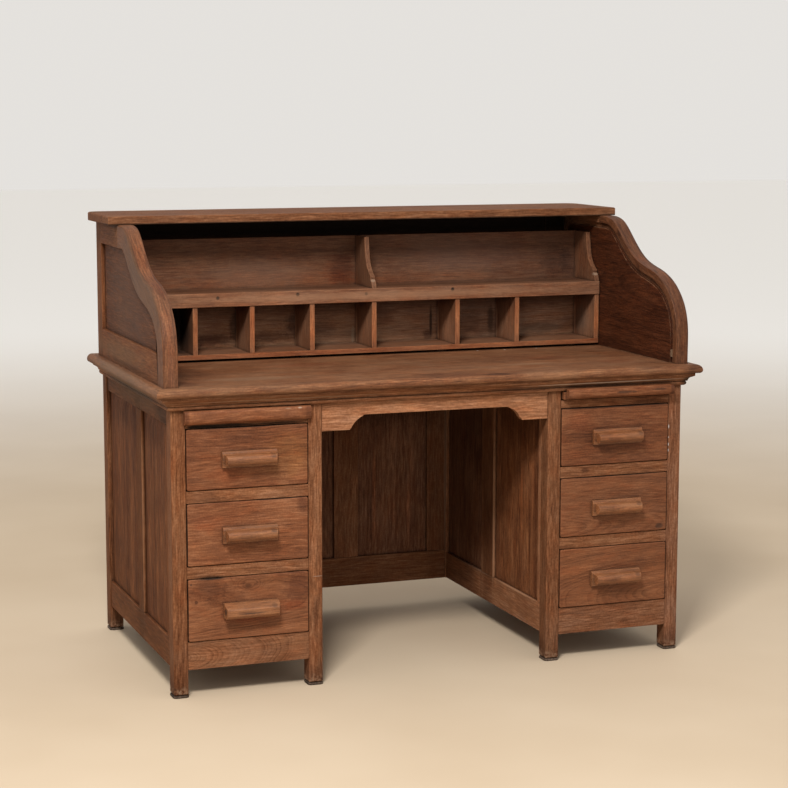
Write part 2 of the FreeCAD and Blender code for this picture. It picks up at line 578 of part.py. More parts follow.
# ---------------------------------------------------------------- back of the upper case
UB = (703.0, 725.0)
xw = GABLE_IN - 0.3
ucore = (UB[0] + 6.0, UB[0] + 13.0)
UST, UMU, UZ0, UZ1 = 60.0, 30.0, G_BOT_RAIL, G_TOP_RAIL
uo = ((-xw + UST, -UMU), (UMU, xw - UST))
ug = [box(a - TONGUE - 0.2, b + TONGUE + 0.2, ucore[0] - 0.1, ucore[1] + 0.1, UZ0 - TONGUE - 0.2, UZ1 + TONGUE + 0.2) for a, b in uo]
uf = [
    box(-xw, -xw + UST, UB[0], UB[1], TOP_Z, TOPBOARD_Z0),
    box(xw - UST, xw, UB[0], UB[1], TOP_Z, TOPBOARD_Z0),
    box(-xw + UST, xw - UST, UB[0], UB[1], UZ1, TOPBOARD_Z0),
    box(-xw + UST, xw - UST, UB[0], UB[1], TOP_Z, UZ0),
    box(-UMU, UMU, UB[0], UB[1], UZ0, UZ1),
]
up = [raised_panel_y(ucore[0], ucore[1], ucore[1] + 4.0, a, b, UZ0, UZ1) for a, b in uo]
save("upper_case_back", [groove(f, ug) for f in uf], up)

# ---------------------------------------------------------------- drawers
FRONT_T = 20.0
FRONT_Y = -2.5
SIDE_T = 11.0
PULL_L = 141.0
PULL_DX = 3.0            # the pulls sit a little to the right of the middle
PULL_DZ = {"upper": -2.0, "middle": -4.0, "lower": -4.5}
LIP_T = 19.0
LIP_Z = {"left": (687.0, 722.5), "right": (702.0, 730.5)}   # the right lipping stands in front of the bed mould
LIP_X = {"left": (344.5, 668.5), "right": (356.5, 664.0)}   # the left lipping laps over the posts


def pull(xc, zc, y, faceted):
    """Wooden bar pull: back block, coved top, projecting bar and a finger hollow below."""
    L = PULL_L / 2.0
    if faceted:
        pr = [(0, 19), (-13, 19), (-31, 9), (-34, 5), (-34, -11), (-28, -18), (-17, -18), (-15, -10), (-12, -5), (-9, -8), (-8, -19), (0, -19)]
        chx, inset = 6.0, 0.0
    else:
        pr = [(0, 20), (-8, 20), (-9.5, 15.5), (-14, 12.5), (-24, 12.5), (-29, 11), (-33, 7.5), (-35, 2.5), (-35, -3.5), (-33, -8.5), (-29, -12.5),
              (-24, -14), (-20, -13), (-16.5, -8), (-13, -4.5), (-10, -8), (-9, -20), (0, -20)]
        chx, inset = 4.0, 5.0
    sh = prism_yz([(y + a, zc + b) for a, b in pr], xc - L, xc + L)
    # the bar is a little shorter than its back block, with eased ends
    for sx in (-1, 1):
        cut = prism_xy([(xc + sx * (L + 1), y - 12), (xc + sx * (L - inset), y - 12), (xc + sx * (L - inset), y - 30 + chx),
                        (xc + sx * (L - inset - chx), y - 40), (xc + sx * (L + 1), y - 40)], zc - 30, zc + 30)
        sh = sh.cut(cut)
    return biggest(sh)


for s, nm in ((1, "right"), (-1, "left")):
    for key in ("upper", "middle", "lower"):
        z0, z1 = DRAWER_Z[key]
        xa, xb = INN_IN + GAP, OUT_IN - GAP
        fr = box(xa, xb, FRONT_Y, FRONT_Y + FRONT_T, z0, z1)
        fr = fillet_where(fr, 5.0, lambda e: along(e, "y"))
        fr = fillet_where(fr, 3.0, lambda e: abs(mid(e).y - FRONT_Y) < 0.01)
        save("%s_%s_drawer_front" % (nm, key), side(fr, s))
        sb = z0 - GAP + RUN_GAP
        st = z1 + GAP - 4.0
        ya, yb = FRONT_Y + FRONT_T, DRAWER_TRAVEL_DEPTH
        xs0, xs1 = INN_IN + 2.0, OUT_IN - 2.0
        bx = [
            box(xs0, xs0 + SIDE_T, ya, yb, sb, st),
            box(xs1 - SIDE_T, xs1, ya, yb, sb, st),
            box(xs0 + SIDE_T, xs1 - SIDE_T, yb - SIDE_T, yb, sb, st - 8),
            box(xs0 + SIDE_T, xs1 - SIDE_T, ya, yb - SIDE_T, sb + 8, sb + 14),
        ]
        save("%s_%s_drawer_box" % (nm, key), [side(b, s) for b in bx])
        xc = (xa + xb) / 2.0
        faceted = (nm == "left" and key == "lower")
        save("%s_%s_drawer_pull" % (nm, key),
             side(pull(xc + s * PULL_DX, (z0 + z1) / 2.0 + PULL_DZ[key], FRONT_Y, faceted), s))

    # writing slide: board and half-round lipping
    pr = SLIDE_REST[nm] + (0.3 if nm == "left" else 0.0)
    lx = LIP_X[nm]
    lz = LIP_Z[nm]
    lip = box(lx[0], lx[1], -LIP_T - pr, -pr, lz[0], lz[1])
    lip = fillet_where(lip, 9.0, lambda e: along(e, "x") and abs(mid(e).y - (-LIP_T - pr)) < 0.01 and mid(e).z > lz[1] - 1)
    lip = fillet_where(lip, 14.0, lambda e: along(e, "x") and mid(e).y < -pr - 1 and mid(e).z < lz[0] + 1)
    bd = box(INN_IN + 3.0, OUT_IN - 3.0, -pr, 640.0 - pr, SLIDE_Z0[nm], SLIDE_Z0[nm] + 20.0)
    save("%s_writing_slide" % nm, side(lip, s), side(bd, s))
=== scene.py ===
import bpy, bmesh, math, random, zlib, json
from mathutils import Vector, Matrix


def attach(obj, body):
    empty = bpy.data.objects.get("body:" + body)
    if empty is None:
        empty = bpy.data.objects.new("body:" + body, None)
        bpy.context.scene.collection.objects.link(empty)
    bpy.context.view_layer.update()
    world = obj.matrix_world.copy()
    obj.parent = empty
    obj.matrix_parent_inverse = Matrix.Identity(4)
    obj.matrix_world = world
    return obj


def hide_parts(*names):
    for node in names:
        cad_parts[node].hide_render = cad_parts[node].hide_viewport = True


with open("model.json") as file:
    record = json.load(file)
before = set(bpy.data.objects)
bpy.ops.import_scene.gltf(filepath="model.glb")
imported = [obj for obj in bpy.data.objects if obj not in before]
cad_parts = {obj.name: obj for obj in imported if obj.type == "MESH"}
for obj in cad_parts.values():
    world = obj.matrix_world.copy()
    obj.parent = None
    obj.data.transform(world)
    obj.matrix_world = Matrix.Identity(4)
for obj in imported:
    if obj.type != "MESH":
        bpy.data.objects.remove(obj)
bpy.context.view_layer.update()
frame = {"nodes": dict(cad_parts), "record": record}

RECORD = frame["record"]
BODY_OF = {n: b for b, nodes in RECORD["behaviour"]["bodies"].items() for n in nodes}
SLOT_OF = {s["node"]: s["material_slot"] for s in RECORD["subparts"]}
CY = 0.360                      # the CAD's own front plane of the posts lies this far in front of the origin


# ------------------------------------------------------------------ node helpers
class G:
    """Small helper round a node tree."""

    def __init__(self, tree):
        self.t = tree
        self.n = tree.nodes
        self.l = tree.links

    def node(self, kind, **kw):
        nd = self.n.new(kind)
        for k, v in kw.items():
            setattr(nd, k, v)
        return nd

    def put(self, sock, v):
        if isinstance(v, bpy.types.NodeSocket):
            self.l.new(v, sock)
        elif v is not None:
            sock.default_value = v

    def math(self, op, a, b=None, c=None, clamp=False):
        nd = self.node("ShaderNodeMath", operation=op, use_clamp=clamp)
        self.put(nd.inputs[0], a)
        if b is not None:
            self.put(nd.inputs[1], b)
        if c is not None:
            self.put(nd.inputs[2], c)
        return nd.outputs[0]

    def vmath(self, op, a, b=None, scale=None):
        nd = self.node("ShaderNodeVectorMath", operation=op)
        self.put(nd.inputs[0], a)
        if b is not None:
            self.put(nd.inputs[1], b)
        if scale is not None:
            self.put(nd.inputs["Scale"], scale)
        return nd.outputs["Value"] if op in ("LENGTH", "DOT_PRODUCT", "DISTANCE") else nd.outputs[0]

    def noise(self, vec, scale=1.0, detail=2.0, rough=0.5, dist=0.0, dims="3D", w=None, lac=2.0):
        nd = self.node("ShaderNodeTexNoise", noise_dimensions=dims)
        if vec is not None:
            self.put(nd.inputs["Vector"], vec)
        if w is not None:
            self.put(nd.inputs["W"], w)
        nd.inputs["Scale"].default_value = scale
        nd.inputs["Detail"].default_value = detail
        nd.inputs["Roughness"].default_value = rough
        nd.inputs["Lacunarity"].default_value = lac
        nd.inputs["Distortion"].default_value = dist
        return nd

    def ramp(self, fac, stops, interp="LINEAR"):
        if len(stops) == 2 and isinstance(stops[0][1], (int, float)) and isinstance(stops[1][1], (int, float)):
            # a plain fade between two values
            nd = self.node("ShaderNodeMapRange", interpolation_type="SMOOTHSTEP" if interp == "EASE" else "LINEAR", clamp=True)
            for i, v in enumerate((stops[0][0], stops[1][0], float(stops[0][1]), float(stops[1][1]))):
                nd.inputs[i + 1].default_value = v
            self.put(nd.inputs[0], fac)
            return nd.outputs[0]
        nd = self.node("ShaderNodeValToRGB")
        nd.color_ramp.interpolation = interp
        el = nd.color_ramp.elements
        while len(el) > 1:
            el.remove(el[-1])
        for i, (p, c) in enumerate(stops):
            if isinstance(c, (int, float)):
                c = (c, c, c)
            e = el[0] if i == 0 else el.new(p)
            e.position = p
            e.color = (c[0], c[1], c[2], 1.0)
        self.put(nd.inputs[0], fac)
        return nd.outputs[0]

    def mix(self, fac, a, b, blend="MIX"):
        nd = self.node("ShaderNodeMix", data_type="RGBA", blend_type=blend)
        nd.clamp_factor = True
        self.put(nd.inputs["Factor"], fac)
        for s, v in ((nd.inputs[6], a), (nd.inputs[7], b)):
            if isinstance(v, tuple):
                v = (v[0], v[1], v[2], 1.0)
            self.put(s, v)
        return nd.outputs[2]

    def sep(self, vec):
        nd = self.node("ShaderNodeSeparateXYZ")
        self.put(nd.inputs[0], vec)
        return nd.outputs

    def comb(self, x=0.0, y=0.0, z=0.0):
        nd = self.node("ShaderNodeCombineXYZ")
        self.put(nd.inputs[0], x)
        self.put(nd.inputs[1], y)
        self.put(nd.inputs[2], z)
        return nd.outputs[0]


def wood(name, dark, mid, light, ring=0.5, ring_mm=5.0, fibre=0.5, streak=0.5, pores=0.5, blotch=0.5, rough=0.5,
         grey=0.0, wear_and_highlight=0.5, dirt_and_shade=0.6, bump=0.4, edge_wear_and_highlight_col=None, purple=0.35, marks=(), knots=(), planks=None,
         ao_mm=9.0, grime_low=0.0, speck=0.0, spec=0.28, lines=0.5):
    """Old oiled hardwood. The mesh carries 'wc' (metres, X along the grain), 'rc' (offset from the pith line)
    and 'tone' (board to board change, and on some pieces painted light and shade). marks are local stains and dust, and
    also painted light and painted shade; knots bend the growth rings."""
    m = bpy.data.materials.new(name)
    m.use_nodes = True
    g = G(m.node_tree)
    g.n.clear()
    out = g.node("ShaderNodeOutputMaterial")
    bs = g.node("ShaderNodeBsdfPrincipled")
    g.l.new(bs.outputs[0], out.inputs[0])
    at = g.node("ShaderNodeAttribute", attribute_name="wc").outputs["Vector"]
    rc = g.node("ShaderNodeAttribute", attribute_name="rc").outputs["Vector"]
    tone = g.node("ShaderNodeAttribute", attribute_name="tone").outputs["Fac"]
    rs = g.node("ShaderNodeAttribute", attribute_name="rs").outputs["Fac"]
    pos = g.node("ShaderNodeTexCoord").outputs["Object"]

    joint = None
    if planks:
        # boards glued side by side: each has its own figure, with a thin dark line between
        yy = g.math("DIVIDE", g.math("SUBTRACT", g.sep(pos)[1], planks[1]), planks[0])
        idx = g.math("FLOOR", yy)
        wn = g.node("ShaderNodeTexWhiteNoise", noise_dimensions="1D")
        g.put(wn.inputs["W"], g.math("ADD", idx, 7.3))
        jit = g.vmath("MULTIPLY", g.vmath("SUBTRACT", wn.outputs["Color"], (0.5, 0.5, 0.5)), (3.0, 0.24, 0.06))
        at = g.vmath("ADD", at, jit)
        rc = g.vmath("ADD", rc, g.vmath("MULTIPLY", jit, (0.0, 1.0, 0.8)))
        tone = g.math("ADD", tone, g.math("MULTIPLY", g.math("SUBTRACT", wn.outputs["Value"], 0.5), 0.16))
        joint = g.ramp(g.math("ABSOLUTE", g.math("SUBTRACT", g.math("FRACT", yy), 0.5)), [(0.494, 0.0), (0.498, 1.0)])

    # slow waviness of the grain
    w1 = g.noise(g.vmath("MULTIPLY", at, (1.8, 6.0, 6.0)), 1.0, 3.0, 0.55).outputs["Color"]
    w1 = g.vmath("MULTIPLY", g.vmath("SUBTRACT", w1, (0.5, 0.5, 0.5)), (0.0, 0.030, 0.030))
    w2 = g.noise(g.vmath("MULTIPLY", at, (11.0, 34.0, 34.0)), 1.0, 2.0, 0.5).outputs["Color"]
    w2 = g.vmath("MULTIPLY", g.vmath("SUBTRACT", w2, (0.5, 0.5, 0.5)), (0.0, 0.0042, 0.0042))
    wa = g.vmath("ADD", w1, w2)
    wc = g.vmath("ADD", at, wa)
    r = g.vmath("LENGTH", g.vmath("MULTIPLY", g.vmath("ADD", rc, wa), (0.0, 1.0, 1.0)))
    knot_core = None
    for (kc, kr, amp) in knots:
        d = g.vmath("LENGTH", g.vmath("MULTIPLY", g.vmath("SUBTRACT", pos, kc), tuple(1.0 / q for q in kr)))
        kb = g.ramp(d, [(0.0, 1.0), (0.30, 0.72), (0.62, 0.24), (1.0, 0.0)], "EASE")
        r = g.math("ADD", r, g.math("MULTIPLY", kb, amp))
        kk = g.ramp(d, [(0.05, 1.0), (0.22, 0.0)])
        knot_core = kk if knot_core is None else g.math("MAXIMUM", knot_core, kk)

    # growth rings: pale early wood running into a dark, sharp late-wood line
    ph = g.math("ADD", g.math("MULTIPLY", r, 1000.0 / ring_mm),
                g.math("MULTIPLY", g.noise(None, 1.0, 2.0, 0.5, dims="1D", w=g.math("MULTIPLY", r, 70.0)).outputs[0], 3.0))
    rings = g.ramp(g.math("FRACT", ph), [(0.0, 0.10), (0.45, 0.18), (0.80, 0.85), (0.90, 1.0), (0.975, 0.30), (1.0, 0.10)])
    ramp_amp = g.ramp(g.noise(None, 1.0, 2.0, 0.5, dims="1D", w=g.math("MULTIPLY", r, 48.0)).outputs[0], [(0.36, 0.15), (0.62, 1.0)])
    rings = g.math("MULTIPLY", rings, ramp_amp)
    band = g.noise(None, 1.0, 1.5, 0.5, dims="1D", w=g.math("MULTIPLY", r, 27.0)).outputs[0]

    # fibres from fine to broad, pores, cloudy blotches
    fa = g.noise(g.vmath("MULTIPLY", wc, (24.0, 310.0, 310.0)), 1.0, 2.0, 0.55).outputs[0]
    fb = g.noise(g.vmath("MULTIPLY", wc, (11.0, 140.0, 140.0)), 1.0, 3.0, 0.62).outputs[0]
    fc = g.noise(g.vmath("MULTIPLY", wc, (4.2, 36.0, 36.0)), 1.0, 3.0, 0.58).outputs[0]
    fine = g.noise(pos, 240.0, 2.0, 0.6).outputs[0]
    pr = g.noise(g.vmath("MULTIPLY", wc, (60.0, 1250.0, 1250.0)), 1.0, 1.0, 0.5).outputs[0]
    pore = g.ramp(pr, [(0.32, 1.0), (0.42, 0.0)])
    dash = g.ramp(g.noise(g.vmath("MULTIPLY", wc, (26.0, 620.0, 620.0)), 1.0, 2.0, 0.6).outputs[0], [(0.54, 0.0), (0.68, 1.0)])
    bl = g.noise(g.vmath("MULTIPLY", at, (3.0, 12.0, 12.0)), 1.0, 4.0, 0.62, dist=0.5).outputs[0]
    cloud = g.noise(pos, 6.5, 4.0, 0.58).outputs[0]
    hue = g.noise(g.vmath("ADD", pos, (5.1, 2.7, 9.3)), 9.0, 3.0, 0.6).outputs[0]

    def part(n, k):
        return g.math("MULTIPLY", g.math("SUBTRACT", n, 0.5), k)
    f = g.math("ADD", part(fa, 2.3 * fibre), part(fb, 1.15 * streak))
    f = g.math("ADD", f, part(fc, 0.60 * streak))
    f = g.math("ADD", f, part(fine, 1.1 * fibre))
    f = g.math("ADD", f, part(bl, 0.55 * blotch))
    f = g.math("ADD", f, part(band, 0.7 * ring))
    f = g.math("ADD", f, part(cloud, 0.75 * blotch))
    f = g.math("ADD", f, 0.5)
    deep = tuple(c * 0.50 for c in dark)
    col = g.ramp(f, [(0.08, deep), (0.30, dark), (0.52, mid), (0.80, light), (1.0, tuple(min(1, c * 1.18) for c in light))])
    late = g.mix(0.62, col, deep, "MIX")
    early = g.math("MULTIPLY", g.math("SUBTRACT", rs, 0.4, clamp=True), 0.9)
    col = g.mix(g.math("MULTIPLY", early, g.math("SUBTRACT", 1.0, rings)), col, g.mix(0.5, col, light))
    col = g.mix(g.math("MULTIPLY", rings, g.math("MULTIPLY", rs, ring)), col, late)
    # redder and duller patches
    ln = g.ramp(g.noise(g.vmath("MULTIPLY", wc, (7.0, 230.0, 230.0)), 1.0, 1.0, 0.5).outputs[0], [(0.60, 0.0), (0.70, 1.0)])
    col = g.mix(g.math("MULTIPLY", ln, 0.75 * lines), col, deep)
    hm = g.ramp(hue, [(0.40, 0.0), (0.64, 1.0)])
    col = g.mix(g.math("MULTIPLY", hm, purple), col, g.mix(1.0, col, (0.84, 0.86, 0.98), "MULTIPLY"))
    col = g.mix(g.math("MULTIPLY", dash, 0.50 * fibre), col, deep)
    # warm and cool mottling of the old oil finish
    mo = g.noise(g.vmath("MULTIPLY", at, (14.0, 38.0, 38.0)), 1.0, 4.0, 0.65, dist=0.3).outputs[0]
    col = g.mix(g.ramp(mo, [(0.50, 0.0), (0.66, 0.55)]), col, g.mix(1.0, col, (1.16, 0.98, 0.86), "MULTIPLY"))
    col = g.mix(g.ramp(mo, [(0.34, 0.50), (0.48, 0.0)]), col, g.mix(1.0, col, (0.86, 0.90, 1.02), "MULTIPLY"))
    col = g.mix(g.math("MULTIPLY", pore, 0.65 * pores), col, tuple(c * 0.30 for c in dark))
    if knot_core is not None:
        col = g.mix(g.math("MULTIPLY", knot_core, 0.75), col, tuple(c * 0.5 for c in dark))
    if grey > 0:
        gm = g.ramp(g.math("ADD", g.math("MULTIPLY", cloud, 0.55), g.math("MULTIPLY", fb, 0.45)), [(0.42, 0.0), (0.62, 1.0)])
        gv = (mid[0] * 0.72 + 0.012, mid[1] * 1.06 + 0.014, mid[2] * 1.35 + 0.014)
        col = g.mix(g.math("MULTIPLY", gm, grey), col, gv)
    tv = g.math("MULTIPLY_ADD", tone, 1.1, 0.45)
    col = g.mix(1.0, col, g.comb(tv, g.math("POWER", tv, 1.10), g.math("POWER", tv, 1.20)), "MULTIPLY")

    # local marks: (centre, radii, colour, strength, ragged)
    fray = g.math("SUBTRACT", g.noise(pos, 60.0, 4.0, 0.65).outputs[0], 0.5)
    for (mc, mr, mcol, ms, rag) in marks:
        d = g.vmath("LENGTH", g.vmath("MULTIPLY", g.vmath("SUBTRACT", pos, mc), tuple(1.0 / q for q in mr)))
        d = g.math("ADD", d, g.math("MULTIPLY", fray, rag * 2.2))
        if rag > 0.15:
            d = g.math("ADD", d, part(fb, rag * 1.2))
        mk = g.ramp(d, [(0.35, 1.0), (1.0, 0.0)], "EASE")
        if mcol == "darken":
            col = g.mix(g.math("MULTIPLY", mk, ms), col, g.mix(1.0, col, (0.36, 0.32, 0.34), "MULTIPLY"))
        elif mcol == "redden":
            col = g.mix(g.math("MULTIPLY", mk, ms), col, g.mix(1.0, col, (0.92, 0.62, 0.52), "MULTIPLY"))
        elif mcol[0] == "x":
            col = g.mix(g.math("MULTIPLY", mk, ms), col, g.mix(1.0, col, mcol[1:], "MULTIPLY"))
        elif mcol == "lighten":
            col = g.mix(g.math("MULTIPLY", mk, ms), col, g.mix(1.0, col, (1.45, 1.50, 1.50), "MULTIPLY"))
        else:
            col = g.mix(g.math("MULTIPLY", mk, ms), col, mcol)
    if joint is not None:
        col = g.mix(g.math("MULTIPLY", joint, 0.55), col, deep)

    # rubbed edges, partly painted highlight; dirt in the corners, partly painted shade
    geo = g.node("ShaderNodeNewGeometry")
    en = g.noise(pos, 34.0, 4.0, 0.66).outputs[0]
    en2 = g.noise(pos, 7.0, 2.0, 0.5).outputs[0]
    # convex edges lightened: rubbed wear, and painted highlight where an edge catches the light
    bev = g.node("ShaderNodeBevel", samples=4)
    bev.inputs["Radius"].default_value = 0.0032
    dt = g.vmath("DOT_PRODUCT", bev.outputs[0], geo.outputs["Normal"])
    em = g.ramp(dt, [(0.72, 1.0), (0.985, 0.0)])
    ea = g.ramp(g.math("ADD", g.math("MULTIPLY", en, 0.65), g.math("MULTIPLY", en2, 0.35)), [(0.42, 0.04), (0.58, 1.0)])
    em = g.math("MULTIPLY", em, ea)
    ec = edge_wear_and_highlight_col or (min(1, light[0] * 1.18), min(1, light[1] * 1.22), min(1, light[2] * 1.25))
    col = g.mix(g.math("MULTIPLY", em, wear_and_highlight), col, ec)
    # the occlusion darkens corners, creases and gaps towards near black: dirt, and painted shade where shade falls
    ao = g.node("ShaderNodeAmbientOcclusion", samples=4)
    ao.inputs["Distance"].default_value = ao_mm / 1000.0
    dm = g.math("MULTIPLY", g.ramp(ao.outputs["AO"], [(0.35, 1.0), (0.84, 0.0)]), g.ramp(en, [(0.32, 0.55), (0.60, 1.0)]))
    col = g.mix(g.math("MULTIPLY", dm, dirt_and_shade), col, (0.016, 0.010, 0.007))
    if speck > 0:
        sp = g.ramp(g.noise(pos, 190.0, 2.0, 0.7).outputs[0], [(0.66, 0.0), (0.72, 1.0)])
        col = g.mix(g.math("MULTIPLY", sp, speck), col, (0.030, 0.018, 0.012))
    if grime_low > 0:
        # foot of the posts: greyed and scuffed, with pale chips and black knocks at the very end
        zz = g.math("ADD", g.sep(pos)[2], g.math("MULTIPLY", fray, 0.03))
        gl = g.ramp(zz, [(0.020, 1.0), (0.080, 0.0)], "EASE")
        col = g.mix(g.math("MULTIPLY", gl, grime_low * 0.80), col, g.mix(1.0, col, (0.56, 0.58, 0.64), "MULTIPLY"))
        ch = g.noise(pos, 105.0, 4.0, 0.7).outputs[0]
        gl2 = g.ramp(zz, [(0.016, 1.0), (0.030, 0.0)])
        col = g.mix(g.math("MULTIPLY", g.math("MULTIPLY", g.ramp(ch, [(0.46, 0.0), (0.60, 1.0)]), gl2), grime_low * 0.75), col, (0.27, 0.17, 0.11))
        gl3 = g.ramp(zz, [(0.022, 1.0), (0.038, 0.0)])
        col = g.mix(g.math("MULTIPLY", g.math("MULTIPLY", g.ramp(ch, [(0.36, 1.0), (0.43, 0.0)]), gl3), grime_low * 0.85), col, (0.020, 0.014, 0.012))
    g.l.new(col, bs.inputs["Base Color"])

    # gloss follows wear: rubbed wood is smoother than the dry grain
    ro = g.math("MULTIPLY_ADD", fb, 0.30, rough - 0.15)
    ro = g.math("ADD", ro, g.math("MULTIPLY", cloud, 0.16))
    ro = g.math("SUBTRACT", ro, g.math("MULTIPLY", em, 0.10), clamp=True)
    g.l.new(ro, bs.inputs["Roughness"])
    bs.inputs["Specular IOR Level"].default_value = spec

    h = g.math("ADD", g.math("MULTIPLY", fa, 0.55), g.math("MULTIPLY", rings, -0.40))
    h = g.math("SUBTRACT", h, g.math("MULTIPLY", pore, 0.55))
    h = g.math("SUBTRACT", h, g.math("MULTIPLY", dash, 0.45))
    h = g.math("ADD", h, g.math("MULTIPLY", fb, 0.9))
    dents = g.noise(pos, 48.0, 3.0, 0.6).outputs[0]
    h = g.math("ADD", h, g.math("MULTIPLY", g.ramp(dents, [(0.26, 0.0), (0.36, 1.0)]), 0.7))
    bp = g.node("ShaderNodeBump")
    bp.inputs["Strength"].default_value = bump
    bp.inputs["Distance"].default_value = 0.0008
    g.l.new(h, bp.inputs["Height"])
    g.l.new(bp.outputs[0], bs.inputs["Normal"])
    return m


# ------------------------------------------------------------------ local marks, in metres
GRIME_AND_SHADE = (0.020, 0.014, 0.011)
BLACK = (0.010, 0.007, 0.005)
DUST = (0.235, 0.155, 0.095)
FY = -0.3625
DRAWER_MARKS = [
    # painted shade: wide, dark gaps and the shadow under the slide lips, painted along the edges of the fronts
    ((-0.505, FY, 0.6760), (0.190, 0.03, 0.0034), BLACK, 0.95, 0.04),
    ((-0.430, FY, 0.4895), (0.110, 0.03, 0.0024), BLACK, 0.90, 0.06),
    ((-0.6620, FY, 0.400), (0.0022, 0.03, 0.110), BLACK, 0.90, 0.06),
    ((-0.3490, FY, 0.610), (0.0020, 0.03, 0.110), BLACK, 0.80, 0.06),
    ((-0.6620, FY, 0.230), (0.0018, 0.03, 0.100), BLACK, 0.85, 0.06),
    ((0.505, FY, 0.6762), (0.300, 0.03, 0.0048), BLACK, 0.92, 0.04),
    ((0.505, FY, 0.4895), (0.190, 0.03, 0.0022), BLACK, 0.85, 0.05),
    ((0.6620, FY, 0.590), (0.0018, 0.03, 0.110), BLACK, 0.80, 0.06),
    # left lower front: smoky clouds, a plug, a nail hole
    ((-0.608, FY, 0.268), (0.070, 0.02, 0.040), ("x", 0.56, 0.50, 0.48), 0.80, 0.50),
    ((-0.560, FY, 0.245), (0.060, 0.02, 0.030), ("x", 0.66, 0.58, 0.52), 0.60, 0.55),
    ((-0.374, FY, 0.258), (0.048, 0.02, 0.056), ("x", 0.58, 0.50, 0.50), 0.80, 0.45),
    ((-0.480, FY, 0.285), (0.150, 0.02, 0.014), ("x", 0.80, 0.78, 0.74), 0.70, 0.45),
    ((-0.450, FY, 0.228), (0.060, 0.02, 0.030), ("x", 0.72, 0.62, 0.56), 0.60, 0.50),
    ((-0.390, FY, 0.215), (0.045, 0.02, 0.020), "redden", 0.60, 0.20),
    ((-0.6414, FY, 0.2414), (0.0065, 0.02, 0.0065), "darken", 0.9, 0.06),
    ((-0.6543, FY, 0.2868), (0.0030, 0.02, 0.0030), GRIME_AND_SHADE, 0.9, 0.0),
    ((-0.500, FY, 0.200), (0.110, 0.02, 0.030), "redden", 0.55, 0.25),
    ((-0.395, FY, 0.165), (0.060, 0.02, 0.018), "lighten", 0.35, 0.25),
    # left middle and upper fronts
    ((-0.364, FY, 0.474), (0.022, 0.02, 0.030), "darken", 0.65, 0.30),
    ((-0.610, FY, 0.440), (0.060, 0.02, 0.030), "redden", 0.35, 0.25),
    ((-0.380, FY, 0.600), (0.028, 0.02, 0.070), "lighten", 0.40, 0.25),
    ((-0.500, FY, 0.645), (0.130, 0.02, 0.016), "darken", 0.30, 0.25),
    # right fronts
    ((0.505, FY, 0.605), (0.190, 0.02, 0.060), "darken", 0.25, 0.25),
    ((0.400, FY, 0.640), (0.050, 0.02, 0.035), "redden", 0.45, 0.25),
    ((0.640, FY, 0.345), (0.014, 0.02, 0.010), GRIME_AND_SHADE, 0.6, 0.30),
    ((0.505, FY, 0.415), (0.170, 0.02, 0.055), "darken", 0.18, 0.25),
    ((0.560, FY, 0.250), (0.080, 0.02, 0.040), "darken", 0.22, 0.25),
    # chips on the left slide lip
    ((-0.3746, -0.379, 0.7185), (0.008, 0.03, 0.0024), (0.40, 0.29, 0.21), 0.75, 0.45),
    ((-0.405, -0.379, 0.7180), (0.012, 0.03, 0.0018), (0.34, 0.22, 0.14), 0.5, 0.55),
    ((-0.664, -0.379, 0.705), (0.010, 0.03, 0.040), "darken", 0.60, 0.20),
    ((-0.350, -0.379, 0.705), (0.012, 0.03, 0.040), "darken", 0.45, 0.25),
    ((-0.655, -0.379, 0.712), (0.014, 0.03, 0.006), "lighten", 0.60, 0.30),
    ((0.525, -0.391, 0.7165), (0.040, 0.03, 0.0045), GRIME_AND_SHADE, 0.65, 0.40),
    ((0.618, -0.391, 0.7195), (0.030, 0.03, 0.0045), GRIME_AND_SHADE, 0.55, 0.40),
    ((0.380, -0.391, 0.7165), (0.024, 0.03, 0.012), "lighten", 0.45, 0.30),
    ((0.660, -0.391, 0.7165), (0.010, 0.03, 0.030), "darken", 0.70, 0.30),
    # painted shade: black wedge of the gap above the left lower front
    ((-0.600, FY, 0.2993), (0.052, 0.02, 0.0048), BLACK, 0.92, 0.06),
    ((-0.400, FY, 0.600), (0.085, 0.02, 0.080), ("x", 1.03, 1.09, 0.92), 0.85, 0.25),
    ((-0.560, FY, 0.560), (0.070, 0.02, 0.030), ("x", 1.06, 0.92, 0.84), 0.80, 0.30),
]
